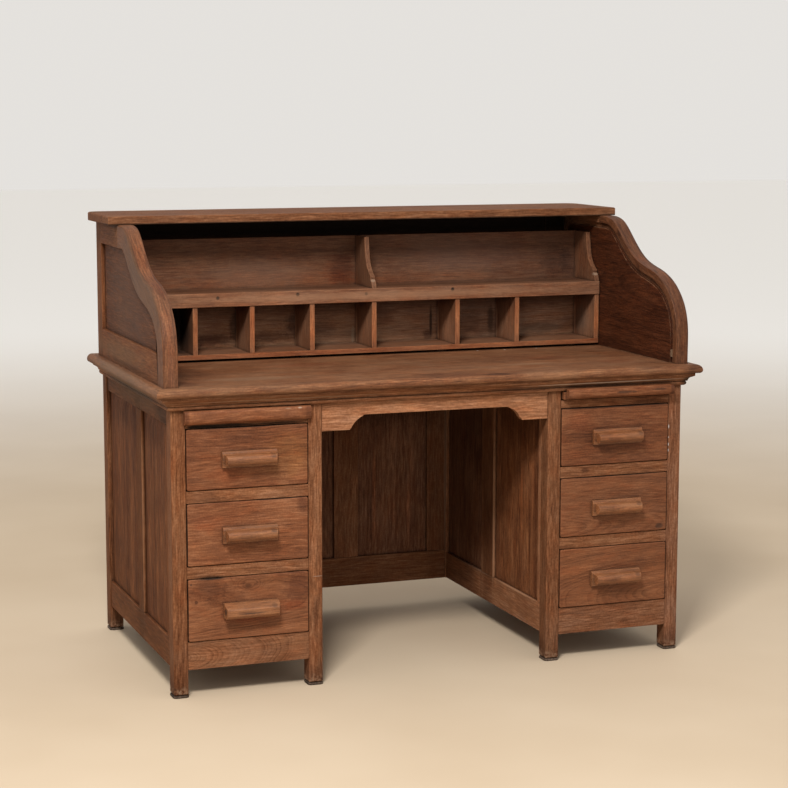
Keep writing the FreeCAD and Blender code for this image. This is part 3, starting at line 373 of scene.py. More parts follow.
FRAME_MARKS = [
    ((0.0, 0.050, 1.1515), (4.0, 0.200, 0.0040), BLACK, 0.85, 0.05),
    ((0.480, -0.372, 0.7420), (0.300, 0.035, 0.0024), (0.44, 0.34, 0.26), 0.85, 0.12),
    ((-0.400, -0.372, 0.7420), (0.400, 0.035, 0.0018), (0.26, 0.17, 0.11), 0.60, 0.25),
    ((0.430, -0.370, 0.7360), (0.400, 0.030, 0.0050), GRIME_AND_SHADE, 0.70, 0.25),
    ((-0.200, -0.370, 0.7350), (0.500, 0.030, 0.0035), GRIME_AND_SHADE, 0.55, 0.35),
    # painted shade: the black gap over the left lower front and the shadow under the left slide lip, painted on the
    # rails
    ((-0.604, -0.361, 0.2990), (0.052, 0.02, 0.0085), BLACK, 0.95, 0.06),
    ((-0.380, -0.361, 0.2995), (0.040, 0.02, 0.0040), BLACK, 0.80, 0.10),
    ((-0.6430, -0.359, 0.6795), (0.0215, 0.02, 0.0085), BLACK, 0.94, 0.03),
    ((-0.6150, -0.359, 0.6795), (0.0480, 0.02, 0.0085), BLACK, 0.94, 0.05),
    ((-0.5600, -0.359, 0.6795), (0.1000, 0.02, 0.0080), BLACK, 0.94, 0.05),
    ((-0.430, -0.359, 0.6800), (0.100, 0.02, 0.0045), BLACK, 0.80, 0.08),
    ((0.4198, -0.361, 0.5085), (0.016, 0.02, 0.010), "darken", 0.70, 0.30),
    ((-0.330, -0.361, 0.180), (0.010, 0.02, 0.080), "darken", 0.45, 0.45),
    ((-0.690, -0.361, 0.500), (0.012, 0.02, 0.200), "lighten", 0.25, 0.40),
    ((0.600, -0.361, 0.681), (0.060, 0.02, 0.012), "darken", 0.50, 0.30),
    ((0.450, -0.361, 0.681), (0.060, 0.02, 0.008), "lighten", 0.45, 0.25),
    ((0.6650, -0.361, 0.6125), (0.0016, 0.01, 0.0075), (0.50, 0.44, 0.38), 0.80, 0.10),
    ((0.6650, -0.361, 0.5830), (0.0014, 0.01, 0.0035), (0.50, 0.44, 0.38), 0.60, 0.10),
    ((0.6650, -0.361, 0.5640), (0.0015, 0.01, 0.0055), (0.50, 0.44, 0.38), 0.75, 0.10),
    ((0.6650, -0.361, 0.5480), (0.0014, 0.01, 0.0055), (0.50, 0.44, 0.38), 0.65, 0.10),
    # beads of the kneehole frames: a bright line painted along each, partly rubbed wear and partly painted highlight
    # where the edge catches the light
    ((0.3145, 0.0450, 0.400), (0.012, 0.060, 0.80), ("x", 0.58, 0.54, 0.52), 0.95, 0.05),
    ((0.3145, 0.0065, 0.330), (0.010, 0.0036, 0.300), (0.34, 0.185, 0.105), 0.62, 0.25),
    ((0.3145, -0.150, 0.1462), (0.010, 0.170, 0.0040), (0.36, 0.195, 0.110), 0.70, 0.22),
    ((0.3145, 0.180, 0.1462), (0.010, 0.180, 0.0036), (0.26, 0.150, 0.095), 0.60, 0.25),
    ((0.3145, -0.294, 0.414), (0.010, 0.0035, 0.330), (0.34, 0.18, 0.105), 0.55, 0.30),
    ((0.3095, 0.3575, 0.420), (0.006, 0.0100, 0.360), (0.24, 0.145, 0.095), 0.65, 0.25),
    ((-0.684, -0.361, 0.400), (0.050, 0.012, 1.2), ("x", 0.98, 0.93, 0.87), 1.0, 0.0),
    ((0.684, -0.361, 0.400), (0.050, 0.012, 1.2), ("x", 1.02, 1.07, 1.20), 1.0, 0.0),
    ((0.505, -0.361, 0.090), (0.320, 0.020, 0.100), ("x", 1.05, 1.11, 1.24), 0.9, 0.05),
    ((-0.505, -0.361, 0.090), (0.320, 0.020, 0.100), ("x", 0.92, 0.94, 0.98), 0.9, 0.05),
    # painted shade under the nosing: the mould returns at both ends, and the lower bead of the right mould behind the
    # proud slide lip, painted dark
    ((-0.716, 0.0, 0.733), (0.022, 0.45, 0.022), (0.050, 0.032, 0.022), 0.85, 0.15),
    ((0.716, -0.30, 0.733), (0.030, 0.45, 0.022), GRIME_AND_SHADE, 0.85, 0.12),
    ((0.520, -0.370, 0.7270), (0.230, 0.030, 0.0070), GRIME_AND_SHADE, 0.75, 0.15),
    ((-0.324, -0.361, 0.2826), (0.018, 0.01, 0.0009), (0.44, 0.36, 0.30), 0.55, 0.40),
    ((-0.690, 0.000, 0.720), (0.02, 0.40, 0.050), (0.125, 0.075, 0.045), 0.55, 0.25),   # top rail of the left side, dulled, with painted shade under the nosing
    ((-0.695, 0.000, 0.115), (0.02, 0.60, 0.080), ("x", 0.88, 0.94, 1.02), 0.90, 0.25),
    ((-0.727, 0.000, 0.742), (0.03, 0.42, 0.030), (0.150, 0.095, 0.060), 0.55, 0.25),
    ((-0.500, -0.361, 0.505), (0.160, 0.02, 0.020), "lighten", 0.50, 0.20),
    ((-0.560, -0.361, 0.318), (0.060, 0.02, 0.018), "lighten", 0.25, 0.25),
    ((0.0, -0.356, 0.720), (0.330, 0.02, 0.040), "lighten", 0.35, 0.20),
]
SIDE_MARKS = FRAME_MARKS + [
    # the outer faces of the framed sides are darker than the fronts: partly duller wood, partly painted shade
    ((-0.697, 0.0, 0.45), (0.080, 6.0, 6.0), ("x", 0.76, 0.62, 0.48), 1.0, 0.0),
    ((0.697, 0.0, 0.45), (0.080, 6.0, 6.0), ("x", 0.80, 0.70, 0.58), 1.0, 0.0),
    # painted shade under the nosing: the top rail of the left side made greyer, and darker at its front
    ((-0.697, 0.0, 0.720), (0.080, 6.0, 0.060), ("x", 1.02, 1.22, 1.52), 0.9, 0.15),
    ((-0.697, -0.290, 0.715), (0.080, 0.130, 0.070), ("x", 0.55, 0.60, 0.70), 0.85, 0.25),
    ((-0.697, -0.0090, 0.400), (0.080, 0.060, 0.900), ("x", 0.80, 0.82, 0.80), 0.95, 0.05),
    # painted highlight along the front arris of the muntin, partly rubbed wear
    ((-0.700, -0.0370, 0.400), (0.012, 0.0032, 0.420), (0.30, 0.150, 0.080), 0.55, 0.30),
    # joint in the kneehole rail, and the end behind it painted darker
    ((0.3145, 0.0900, 0.105), (0.012, 0.0026, 0.120), BLACK, 0.55, 0.05),
    ((0.3145, 0.2400, 0.100), (0.012, 0.165, 0.200), ("x", 0.66, 0.62, 0.60), 0.90, 0.04),
    # painted shade along the top of the kneehole back, under the desk top
    ((0.0, 0.350, 0.670), (1.2, 0.040, 0.200), ("x", 0.55, 0.52, 0.52), 0.85, 0.12),
    ((0.290, 0.350, 0.400), (0.060, 0.040, 0.900), ("x", 0.78, 0.76, 0.76), 0.85, 0.12),
]
GABLE_MARKS = [
    ((-0.712, 0.100, 0.815), (0.02, 0.40, 0.040), (0.130, 0.078, 0.045), 0.45, 0.25),
    ((-0.660, 0.330, 1.128), (0.030, 0.160, 0.050), BLACK, 0.92, 0.03),
    ((0.660, 0.330, 1.128), (0.030, 0.160, 0.050), BLACK, 0.92, 0.03),
    ((-0.712, 0.280, 0.960), (0.020, 0.080, 0.260), ("x", 1.12, 0.98, 0.84), 0.85, 0.20),
    ((-0.712, 0.050, 1.148), (0.020, 0.400, 0.012), ("x", 0.45, 0.44, 0.46), 0.85, 0.15),
    ((-0.712, 0.000, 0.790), (0.020, 0.400, 0.010), ("x", 0.60, 0.58, 0.58), 0.80, 0.20),
]
DESK_MARKS = [
    ((0.725, -0.390, 0.768), (0.050, 0.03, 0.02), "darken", 0.55, 0.40),
    ((0.0, -0.396, 0.775), (0.760, 0.012, 0.006), "lighten", 0.45, 0.35),
    # painted shadow of the left gable on the desktop
    ((-0.600, -0.100, 0.780), (0.085, 0.200, 0.02), ("x", 0.58, 0.52, 0.50), 0.85, 0.25),
    ((-0.530, 0.040, 0.780), (0.120, 0.070, 0.02), ("x", 0.74, 0.70, 0.68), 0.60, 0.35),
    ((-0.650, -0.300, 0.780), (0.040, 0.060, 0.02), ("x", 0.62, 0.56, 0.54), 0.70, 0.30),
    ((0.299, 0.091, 0.780), (0.0035, 0.0040, 0.004), (0.70, 0.62, 0.52), 0.95, 0.0),
    ((0.382, 0.091, 0.780), (0.0030, 0.0040, 0.004), (0.70, 0.62, 0.52), 0.90, 0.0),
    ((0.479, 0.091, 0.780), (0.0030, 0.0040, 0.004), (0.70, 0.62, 0.52), 0.90, 0.0),
    ((0.100, -0.330, 0.780), (0.120, 0.030, 0.02), ("x", 0.68, 0.62, 0.60), 0.55, 0.50),
    ((-0.300, -0.300, 0.780), (0.100, 0.030, 0.02), ("x", 1.16, 1.16, 1.16), 0.60, 0.40),
    ((0.350, -0.050, 0.780), (0.160, 0.060, 0.02), ("x", 0.84, 0.78, 0.76), 0.60, 0.45),
    ((0.620, -0.150, 0.780), (0.060, 0.120, 0.02), ("x", 1.12, 1.02, 0.94), 0.60, 0.35),
    ((0.157, -0.385, 0.775), (0.060, 0.018, 0.02), "darken", 0.65, 0.35),
    ((-0.010, -0.340, 0.780), (0.060, 0.020, 0.02), "darken", 0.60, 0.35),
    ((0.320, -0.225, 0.780), (0.110, 0.022, 0.02), (0.20, 0.115, 0.065), 0.45, 0.35),
    ((-0.267, -0.045, 0.780), (0.150, 0.050, 0.02), "redden", 0.40, 0.30),
    ((0.100, -0.250, 0.780), (0.090, 0.016, 0.02), "darken", 0.40, 0.35),
    ((0.420, -0.120, 0.780), (0.120, 0.040, 0.02), "redden", 0.35, 0.30),
    ((-0.450, -0.260, 0.780), (0.180, 0.045, 0.02), (0.185, 0.108, 0.062), 0.45, 0.30),
    ((0.560, -0.250, 0.780), (0.070, 0.060, 0.02), "redden", 0.45, 0.30),
    ((-0.743, 0.000, 0.770), (0.030, 0.42, 0.03), (0.155, 0.095, 0.055), 0.45, 0.25),
]
GAL_MARKS = [
    # painted light on the bottom of each pigeonhole, painted shade under its top
    ((0.0, 0.237, 0.838), (4.0, 0.02, 0.085), ("x", 2.60, 3.2, 3.6), 0.95, 0.05),
    ((0.0, 0.165, 0.850), (4.0, 0.09, 0.075), ("x", 1.40, 1.42, 1.40), 0.85, 0.08),
    ((0.0, 0.185, 0.938), (4.0, 0.075, 0.044), ("x", 0.34, 0.34, 0.36), 0.85, 0.12),
    # the first pigeonhole is painted near black; the marks end under the shelf and behind the fascia
    ((-0.640, 0.240, 0.858), (0.150, 0.200, 0.114), ("x", 0.12, 0.20, 0.30), 0.97, 0.03),
    ((-0.548, 0.215, 0.858), (0.054, 0.150, 0.114), ("x", 0.12, 0.18, 0.26), 0.97, 0.03),
    ((-0.530, 0.200, 0.858), (0.027, 0.160, 0.114), ("x", 0.35, 0.38, 0.42), 0.95, 0.03),
    ((-0.250, 0.237, 0.978), (0.420, 0.02, 0.035), ("x", 1.28, 1.10, 0.94), 0.75, 0.35),
    ((-0.060, 0.237, 1.000), (0.060, 0.02, 0.060), ("x", 1.30, 1.00, 0.80), 0.70, 0.45),
    ((0.200, 0.237, 0.975), (0.300, 0.02, 0.025), ("x", 1.22, 1.06, 0.92), 0.70, 0.35),
    ((0.560, 0.237, 0.840), (0.120, 0.02, 0.060), ("x", 1.35, 1.45, 1.55), 0.85, 0.25),
    ((0.0, 0.0975, 0.864), (4.0, 0.0070, 0.090), ("x", 1.55, 1.26, 0.98), 0.95, 0.12),
    ((0.0, 0.0970, 0.7935), (4.0, 0.0070, 0.012), ("x", 1.30, 1.06, 0.88), 0.90, 0.10),
    ((-0.500, 0.237, 0.812), (0.030, 0.02, 0.016), GRIME_AND_SHADE, 0.60, 0.45),
    ((-0.365, 0.237, 0.860), (0.020, 0.02, 0.050), GRIME_AND_SHADE, 0.60, 0.40),
    ((-0.215, 0.200, 0.860), (0.016, 0.05, 0.050), GRIME_AND_SHADE, 0.70, 0.40),
    ((0.060, 0.237, 0.870), (0.050, 0.02, 0.040), ("x", 0.60, 0.56, 0.56), 0.70, 0.40),
    ((0.455, 0.237, 0.880), (0.030, 0.02, 0.030), ("x", 0.55, 0.52, 0.55), 0.70, 0.40),
    ((0.655, 0.200, 0.830), (0.03, 0.05, 0.05), ("x", 0.62, 0.66, 0.72), 0.70, 0.35),
    ((0.640, 0.237, 1.010), (0.030, 0.02, 0.070), ("x", 0.55, 0.55, 0.60), 0.80, 0.35),
    ((0.380, 0.237, 1.050), (0.460, 0.02, 0.40), ("x", 0.90, 0.90, 0.96), 0.90, 0.10),
    ((-0.045, 0.237, 1.000), (0.050, 0.02, 0.090), ("x", 0.62, 0.60, 0.62), 0.70, 0.35),
    ((-0.4512, 0.095, 0.9513), (0.0070, 0.02, 0.0070), BLACK, 0.98, 0.0),
    ((-0.2274, 0.095, 0.9540), (0.0070, 0.02, 0.0070), BLACK, 0.98, 0.0),
    ((-0.0304, 0.095, 0.9500), (0.0062, 0.02, 0.0062), BLACK, 0.96, 0.0),
    ((0.2245, 0.095, 0.9549), (0.0070, 0.02, 0.0070), BLACK, 0.98, 0.0),
    ((-0.0205, 0.237, 0.822), (0.0060, 0.02, 0.030), (0.34, 0.25, 0.17), 0.75, 0.30),
    ((0.215, 0.237, 0.850), (0.0060, 0.02, 0.060), GRIME_AND_SHADE, 0.85, 0.25),
    ((0.205, 0.237, 0.815), (0.020, 0.02, 0.018), "darken", 0.7, 0.3),
    ((-0.430, 0.237, 0.822), (0.080, 0.02, 0.022), "darken", 0.75, 0.45),
    ((-0.270, 0.237, 0.826), (0.075, 0.02, 0.022), "darken", 0.60, 0.45),
    ((-0.200, 0.237, 0.860), (0.016, 0.02, 0.040), "darken", 0.80, 0.40),
    ((-0.110, 0.237, 0.850), (0.060, 0.02, 0.040), "darken", 0.45, 0.45),
    ((0.330, 0.237, 0.850), (0.060, 0.02, 0.050), "darken", 0.40, 0.45),
    ((0.400, 0.237, 0.850), (0.014, 0.02, 0.060), GRIME_AND_SHADE, 0.65, 0.30),
    ((0.560, 0.237, 0.820), (0.100, 0.02, 0.022), (0.16, 0.105, 0.07), 0.55, 0.40),
    ((0.655, 0.180, 0.850), (0.03, 0.06, 0.06), (0.15, 0.105, 0.075), 0.45, 0.40),
    ((-0.060, 0.237, 1.010), (0.050, 0.02, 0.060), "darken", 0.45, 0.35),
    ((0.600, 0.237, 1.020), (0.060, 0.02, 0.060), "darken", 0.55, 0.35),
    ((-0.300, 0.237, 1.000), (0.200, 0.02, 0.060), (0.145, 0.085, 0.058), 0.30, 0.40),
    ((0.330, 0.237, 1.040), (0.240, 0.02, 0.060), (0.135, 0.075, 0.055), 0.30, 0.40),
    ((0.668, 0.108, 0.984), (0.014, 0.014, 0.005), (0.34, 0.25, 0.18), 0.45, 0.40),
    ((-0.006, 0.108, 0.984), (0.010, 0.014, 0.005), (0.34, 0.25, 0.18), 0.40, 0.40),
    ((0.0, 0.098, 0.946), (0.70, 0.02, 0.014), (0.34, 0.18, 0.10), 0.35, 0.30),
]
KNEE_MARKS = [
    ((0.030, 0.362, 0.640), (0.012, 0.02, 0.060), (0.16, 0.10, 0.07), 0.40, 0.45),
    ((0.062, 0.362, 0.300), (0.006, 0.02, 0.150), "lighten", 0.80, 0.25),
    ((0.088, 0.362, 0.340), (0.008, 0.02, 0.180), ("x", 1.7, 1.4, 1.2), 0.70, 0.25),
    ((0.150, 0.362, 0.260), (0.006, 0.02, 0.110), "lighten", 0.80, 0.25),
    ((0.195, 0.362, 0.280), (0.007, 0.02, 0.130), ("x", 1.8, 1.7, 1.6), 0.80, 0.25),
    ((0.230, 0.362, 0.200), (0.005, 0.02, 0.060), "lighten", 0.90, 0.25),
    ((0.120, 0.362, 0.600), (0.120, 0.02, 0.100), "darken", 0.40, 0.25),
    ((-0.150, 0.362, 0.400), (0.010, 0.02, 0.200), "darken", 0.50, 0.25),
    ((0.319, -0.175, 0.400), (0.02, 0.010, 0.200), ("x", 1.4, 1.3, 1.2), 0.70, 0.25),
    ((0.319, -0.230, 0.330), (0.02, 0.006, 0.160), "darken", 0.60, 0.25),
    ((0.319, -0.110, 0.430), (0.02, 0.006, 0.160), "lighten", 0.50, 0.25),
    ((0.319, 0.130, 0.520), (0.02, 0.120, 0.160), "darken", 0.45, 0.25),
    # painted shade along the top of the kneehole back, under the desk top
    ((0.0, 0.362, 0.670), (1.2, 0.040, 0.200), ("x", 0.55, 0.52, 0.52), 0.85, 0.12),
    # painted light on the front part of the kneehole's right side
    ((0.319, -0.150, 0.380), (0.030, 0.260, 0.80), ("x", 1.20, 1.02, 0.77), 0.95, 0.05),
    ((0.319, -0.275, 0.380), (0.030, 0.030, 0.60), ("x", 0.70, 0.66, 0.66), 0.80, 0.15),
    # lighter and darker stripes of the outer side panels
    ((-0.690, -0.205, 0.400), (0.030, 0.016, 0.70), ("x", 1.28, 1.30, 1.30), 0.70, 0.10),
    ((-0.690, -0.150, 0.400), (0.030, 0.010, 0.70), ("x", 0.74, 0.72, 0.72), 0.70, 0.10),
    ((-0.690, -0.095, 0.400), (0.030, 0.018, 0.70), ("x", 1.20, 1.20, 1.16), 0.70, 0.10),
    ((-0.690, -0.060, 0.400), (0.030, 0.012, 0.70), ("x", 0.78, 0.74, 0.72), 0.70, 0.10),
    ((-0.690, 0.110, 0.400), (0.030, 0.022, 0.70), ("x", 1.25, 1.27, 1.22), 0.70, 0.10),
    ((-0.690, 0.160, 0.400), (0.030, 0.010, 0.70), ("x", 0.74, 0.72, 0.72), 0.70, 0.10),
    ((-0.690, 0.230, 0.400), (0.030, 0.018, 0.70), ("x", 1.18, 1.18, 1.12), 0.70, 0.10),
    # painted shade under the apron on the kneehole's right side
    ((0.319, -0.150, 0.640), (0.030, 0.200, 0.120), ("x", 0.48, 0.44, 0.44), 0.85, 0.20),
    ((-0.690, 0.000, 0.410), (0.080, 6.0, 6.0), ("x", 1.04, 0.88, 0.69), 1.0, 0.0),
    ((0.690, 0.000, 0.410), (0.080, 6.0, 6.0), ("x", 1.00, 0.86, 0.70), 1.0, 0.0),
    ((-0.691, 0.000, 0.640), (0.02, 0.350, 0.060), "darken", 0.35, 0.25),
]

KNEE_MARKS += [
    ((0.0, 0.343, 1.135), (4.0, 0.06, 0.075), BLACK, 0.95, 0.03),     # space behind the curtain slot, painted black
    ((-0.700, 0.0, 0.970), (0.03, 0.40, 0.30), (0.120, 0.068, 0.042), 0.45, 0.20),
    ((-0.700, 0.0, 0.970), (0.03, 6.0, 0.60), ("x", 0.95, 1.01, 1.20), 1.0, 0.0),
]
SCROLL_MARKS = [
    ((-0.699, -0.150, 1.080), (0.024, 0.210, 0.110), ("x", 0.98, 0.88, 0.80), 0.95, 0.25),   # polished, reddened crest
    ((-0.697, -0.080, 1.095), (0.013, 0.120, 0.045), ("x", 1.02, 0.98, 0.92), 0.60, 0.35),
    ((-0.694, -0.250, 1.015), (0.010, 0.090, 0.050), ("x", 0.88, 0.74, 0.66), 0.60, 0.35),
    ((-0.699, -0.330, 0.930), (0.012, 0.050, 0.060), ("x", 1.18, 1.02, 0.90), 0.60, 0.35),
    ((-0.7135, -0.130, 1.075), (0.0055, 0.260, 0.130), ("x", 0.42, 0.40, 0.42), 0.85, 0.20),  # dirt along the outer arris
    ((-0.7135, -0.350, 0.900), (0.0040, 0.050, 0.140), ("x", 0.62, 0.58, 0.60), 0.70, 0.25),
    ((-0.6835, -0.200, 1.030), (0.0040, 0.240, 0.140), ("x", 0.60, 0.55, 0.55), 0.60, 0.25),
    ((-0.698, -0.020, 1.126), (0.0034, 0.0060, 0.0060), (0.55, 0.42, 0.32), 0.85, 0.15),
    ((-0.700, -0.035, 1.118), (0.0028, 0.0050, 0.0050), (0.50, 0.37, 0.27), 0.75, 0.15),
    ((-0.697, -0.062, 1.092), (0.0030, 0.0040, 0.0040), (0.48, 0.36, 0.27), 0.65, 0.15),
    ((-0.702, -0.190, 1.031), (0.0036, 0.0080, 0.0060), GRIME_AND_SHADE, 0.75, 0.25),
    ((-0.693, -0.215, 1.024), (0.0036, 0.0080, 0.0060), GRIME_AND_SHADE, 0.70, 0.25),
    ((-0.698, -0.363, 0.830), (0.0120, 0.010, 0.100), ("x", 1.02, 0.95, 1.02), 0.60, 0.25),
    ((-0.717, -0.150, 1.000), (0.008, 0.30, 0.30), (0.120, 0.066, 0.036), 0.45, 0.30),
    ((0.717, -0.100, 1.000), (0.010, 0.45, 0.35), ("x", 0.55, 0.50, 0.62), 0.80, 0.15),
    ((0.699, -0.200, 1.020), (0.012, 0.250, 0.140), ("x", 1.12, 1.02, 0.92), 0.60, 0.30),
]
PULL_MARKS = []
for sx in (-0.5025, 0.5085):
    for pz in (0.597, 0.407, 0.216):
        PULL_MARKS += [((sx + 0.055, -0.393, pz + 0.010), (0.010, 0.02, 0.010), GRIME_AND_SHADE, 0.40, 0.45),
                       ((sx - 0.020, -0.397, pz - 0.003), (0.030, 0.02, 0.007), "darken", 0.35, 0.45),
                       ((sx - 0.0705, -0.385, pz), (0.0035, 0.016, 0.012), GRIME_AND_SHADE, 0.75, 0.20),
                       ((sx + 0.020, -0.397, pz + 0.004), (0.045, 0.02, 0.006), "lighten", 0.20, 0.30)]
PULL_MARKS.append(((-0.500, -0.397, 0.211), (0.050, 0.02, 0.0022), GRIME_AND_SHADE, 0.70, 0.50))

# ------------------------------------------------------------------ finishes
MATS = {
    "frame_wood": wood("frame_wood", (0.1305, 0.0479, 0.0201), (0.1879, 0.0747, 0.0327), (0.3001, 0.1358, 0.0666),
                       ring=0.60, ring_mm=5.0, grey=0.14, wear_and_highlight=0.50, dirt_and_shade=0.80, rough=0.55, streak=0.42, marks=FRAME_MARKS, grime_low=0.85, spec=0.05),
    "gable_wood": wood("gable_wood", (0.1305, 0.0474, 0.0197), (0.1879, 0.0740, 0.0321), (0.3001, 0.1345, 0.0653),
                       ring=0.50, ring_mm=5.0, grey=0.22, wear_and_highlight=0.45, dirt_and_shade=0.80, rough=0.55, marks=GABLE_MARKS, fibre=0.40, streak=0.40, spec=0.05),
    "knee_wood": wood("knee_wood", (0.1501, 0.0575, 0.0251), (0.2161, 0.0897, 0.0410), (0.3451, 0.1633, 0.0835),
                       ring=0.60, ring_mm=5.0, grey=0.14, wear_and_highlight=0.70, dirt_and_shade=0.70, rough=0.55, marks=SIDE_MARKS, fibre=0.40, streak=0.42, edge_wear_and_highlight_col=(0.30, 0.16, 0.088), grime_low=0.3, spec=0.05),
    "scroll_wood": wood("scroll_wood", (0.1133, 0.0391, 0.0155), (0.1641, 0.0610, 0.0251), (0.2500, 0.1017, 0.0450),
                        ring=0.50, ring_mm=6.0, grey=0.22, wear_and_highlight=0.10, dirt_and_shade=0.80, rough=0.50, marks=SCROLL_MARKS, spec=0.18, blotch=0.5, fibre=0.60),
    "desktop_wood": wood("desktop_wood", (0.1058, 0.0376, 0.0150), (0.1499, 0.0573, 0.0227), (0.2381, 0.1009, 0.0428),
                         ring=0.45, ring_mm=6.0, grey=0.30, wear_and_highlight=0.60, dirt_and_shade=0.6, rough=0.54, blotch=0.75, marks=DESK_MARKS,
                         planks=(0.187, -0.350), spec=0.16),
    "gallery_wood": wood("gallery_wood", (0.1023, 0.0383, 0.0177), (0.1474, 0.0600, 0.0279), (0.2341, 0.1018, 0.0493),
                         ring=0.45, ring_mm=6.0, grey=0.30, wear_and_highlight=0.65, dirt_and_shade=0.90, rough=0.58, blotch=0.55, fibre=0.34, streak=0.34, marks=GAL_MARKS,
                         edge_wear_and_highlight_col=(0.43, 0.19, 0.085), spec=0.16),
    "lining_wood": wood("lining_wood", (0.0243, 0.0056, 0.0018), (0.0461, 0.0116, 0.0035), (0.0960, 0.0270, 0.0089),
                        ring=0.85, ring_mm=8.0, grey=0.0, wear_and_highlight=0.85, dirt_and_shade=0.35, rough=0.45, blotch=0.5, streak=0.40, fibre=0.42, edge_wear_and_highlight_col=(0.40, 0.23, 0.13), spec=0.2, lines=0.3),
    "pale_wood": wood("pale_wood", (0.0900, 0.0448, 0.0234), (0.1560, 0.0868, 0.0468), (0.2160, 0.1344, 0.0780),
                      ring=0.3, grey=0.2, wear_and_highlight=0.5, dirt_and_shade=0.6, rough=0.6, spec=0.2),
    "drawer_wood": wood("drawer_wood", (0.1305, 0.0422, 0.0157), (0.1868, 0.0641, 0.0247), (0.2903, 0.1165, 0.0504),
                        ring=0.55, ring_mm=5.5, grey=0.10, wear_and_highlight=0.50, dirt_and_shade=0.80, rough=0.50, blotch=0.75, fibre=0.46, streak=0.36, lines=0.35, marks=DRAWER_MARKS,
                        knots=[((-0.508, FY, 0.272), (0.075, 0.05, 0.042), 0.030)], spec=0.18),
    "pull_wood": wood("pull_wood", (0.1465, 0.0519, 0.0191), (0.2327, 0.0883, 0.0329), (0.3515, 0.1498, 0.0597),
                      ring=0.30, ring_mm=4.0, grey=0.12, wear_and_highlight=0.6, dirt_and_shade=0.85, rough=0.40, fibre=0.34, streak=0.34, spec=0.35, ao_mm=12.0, marks=PULL_MARKS),
    "interior_wood": wood("interior_wood", (0.1748, 0.0820, 0.0380), (0.2944, 0.1558, 0.0760), (0.3956, 0.2296, 0.1216),
                          ring=0.4, grey=0.1, wear_and_highlight=0.2, dirt_and_shade=0.6, rough=0.68, spec=0.2),
    "panel_wood": wood("panel_wood", (0.0930, 0.0369, 0.0197), (0.1488, 0.0630, 0.0329), (0.2651, 0.1249, 0.0672),
                       ring=0.60, ring_mm=6.0, grey=0.14, wear_and_highlight=0.45, dirt_and_shade=0.80, rough=0.55, blotch=0.60, fibre=0.38, streak=0.65, marks=KNEE_MARKS, spec=0.04),
    "foot_dark": wood("foot_dark", (0.0260, 0.0182, 0.0130), (0.0780, 0.0520, 0.0364), (0.1560, 0.1105, 0.0806),
                      ring=0.3, grey=0.0, wear_and_highlight=0.7, dirt_and_shade=0.5, rough=0.62, edge_wear_and_highlight_col=(0.25, 0.19, 0.14), spec=0.15),
}
for k, m in MATS.items():
    m.name = k


# ------------------------------------------------------------------ solids of a CAD node
def split_solids(mesh):
    """Lists of polygons, one list per closed solid, in the mesh's own order."""
    def key(i):
        c = mesh.vertices[i].co
        return (round(c.x * 1e6), round(c.y * 1e6), round(c.z * 1e6))
    keys = [key(i) for i in range(len(mesh.vertices))]
    groups, cur, open_edges = [], [], set()
    for p in mesh.polygons:
        vs = [keys[v] for v in p.vertices]
        cur.append(vs)
        for a, b in zip(vs, vs[1:] + vs[:1]):
            if a == b:
                continue
            e = (a, b) if a < b else (b, a)
            open_edges ^= {e}
        if not open_edges:
            groups.append(cur)
            cur = []
    if cur:
        groups.append(cur)
    return groups


def solid_mesh(polys, bevel=0.0012, segs=2):
    """Welded, eased mesh of one solid."""
    bm = bmesh.new()
    idx = {}
    for vs in polys:
        loop = []
        for k in vs:
            if k not in idx:
                idx[k] = bm.verts.new((k[0] * 1e-6, k[1] * 1e-6, k[2] * 1e-6))
            if not loop or loop[-1] is not idx[k]:
                loop.append(idx[k])
        if len(loop) > 2 and loop[0] is not loop[-1] and len(set(loop)) == len(loop):
            try:
                bm.faces.new(loop)
            except ValueError:
                pass
    bmesh.ops.recalc_face_normals(bm, faces=bm.faces)
    bmesh.ops.dissolve_limit(bm, angle_limit=math.radians(0.6), verts=bm.verts, edges=bm.edges)
    if bevel > 0:
        sharp = [e for e in bm.edges if len(e.link_faces) == 2 and e.calc_face_angle(0.0) > math.radians(28)]
        bmesh.ops.bevel(bm, geom=sharp, offset=bevel, offset_type="OFFSET", segments=segs, profile=0.6,
                        affect="EDGES", clamp_overlap=True, miter_outer="SHARP")
    return bm


def grain_of(node, lo, hi):
    """Axis of the grain of a solid: 0 X, 1 Y, 2 Z."""
    d = hi - lo
    if node in ("gable_linings", "left_gable_panel", "right_gable_panel"):
        return 1
    if "side_panels" in node or node == "kneehole_back_panels" or node.endswith("pedestal_back") and d.z > 0.4:
        return 2
    if node == "gallery_dividers" or node == "gallery_brackets":
        return 2
    return max(range(3), key=lambda i: d[i])


TONE = {}


# figure of the boards: (slope of the pith line, height of the pith under the face, shift across), metres
FIGURE = {
    "left_front_rails/70": (0.36, 0.078, -0.002, 1.15),
    "right_middle_drawer_front": (0.16, 0.050, -0.055, 1.1),
    "right_lower_drawer_front": (-0.22, 0.060, -0.060, 1.2),
    "left_lower_drawer_front": (0.10, 0.070, 0.020, 1.3),
    "gable_linings": (0.09, 0.085, 0.030, 0.75),
    "left_gable_panel": (0.05, 0.080, 0.030, 0.4),
    "gallery_back": (0.04, 0.110, 0.030, 0.35),
    "kneehole_back_panels": (0.04, 0.060, 0.010, 0.6),
    "kneehole_apron": (0.10, 0.090, -0.030, 0.7),
}


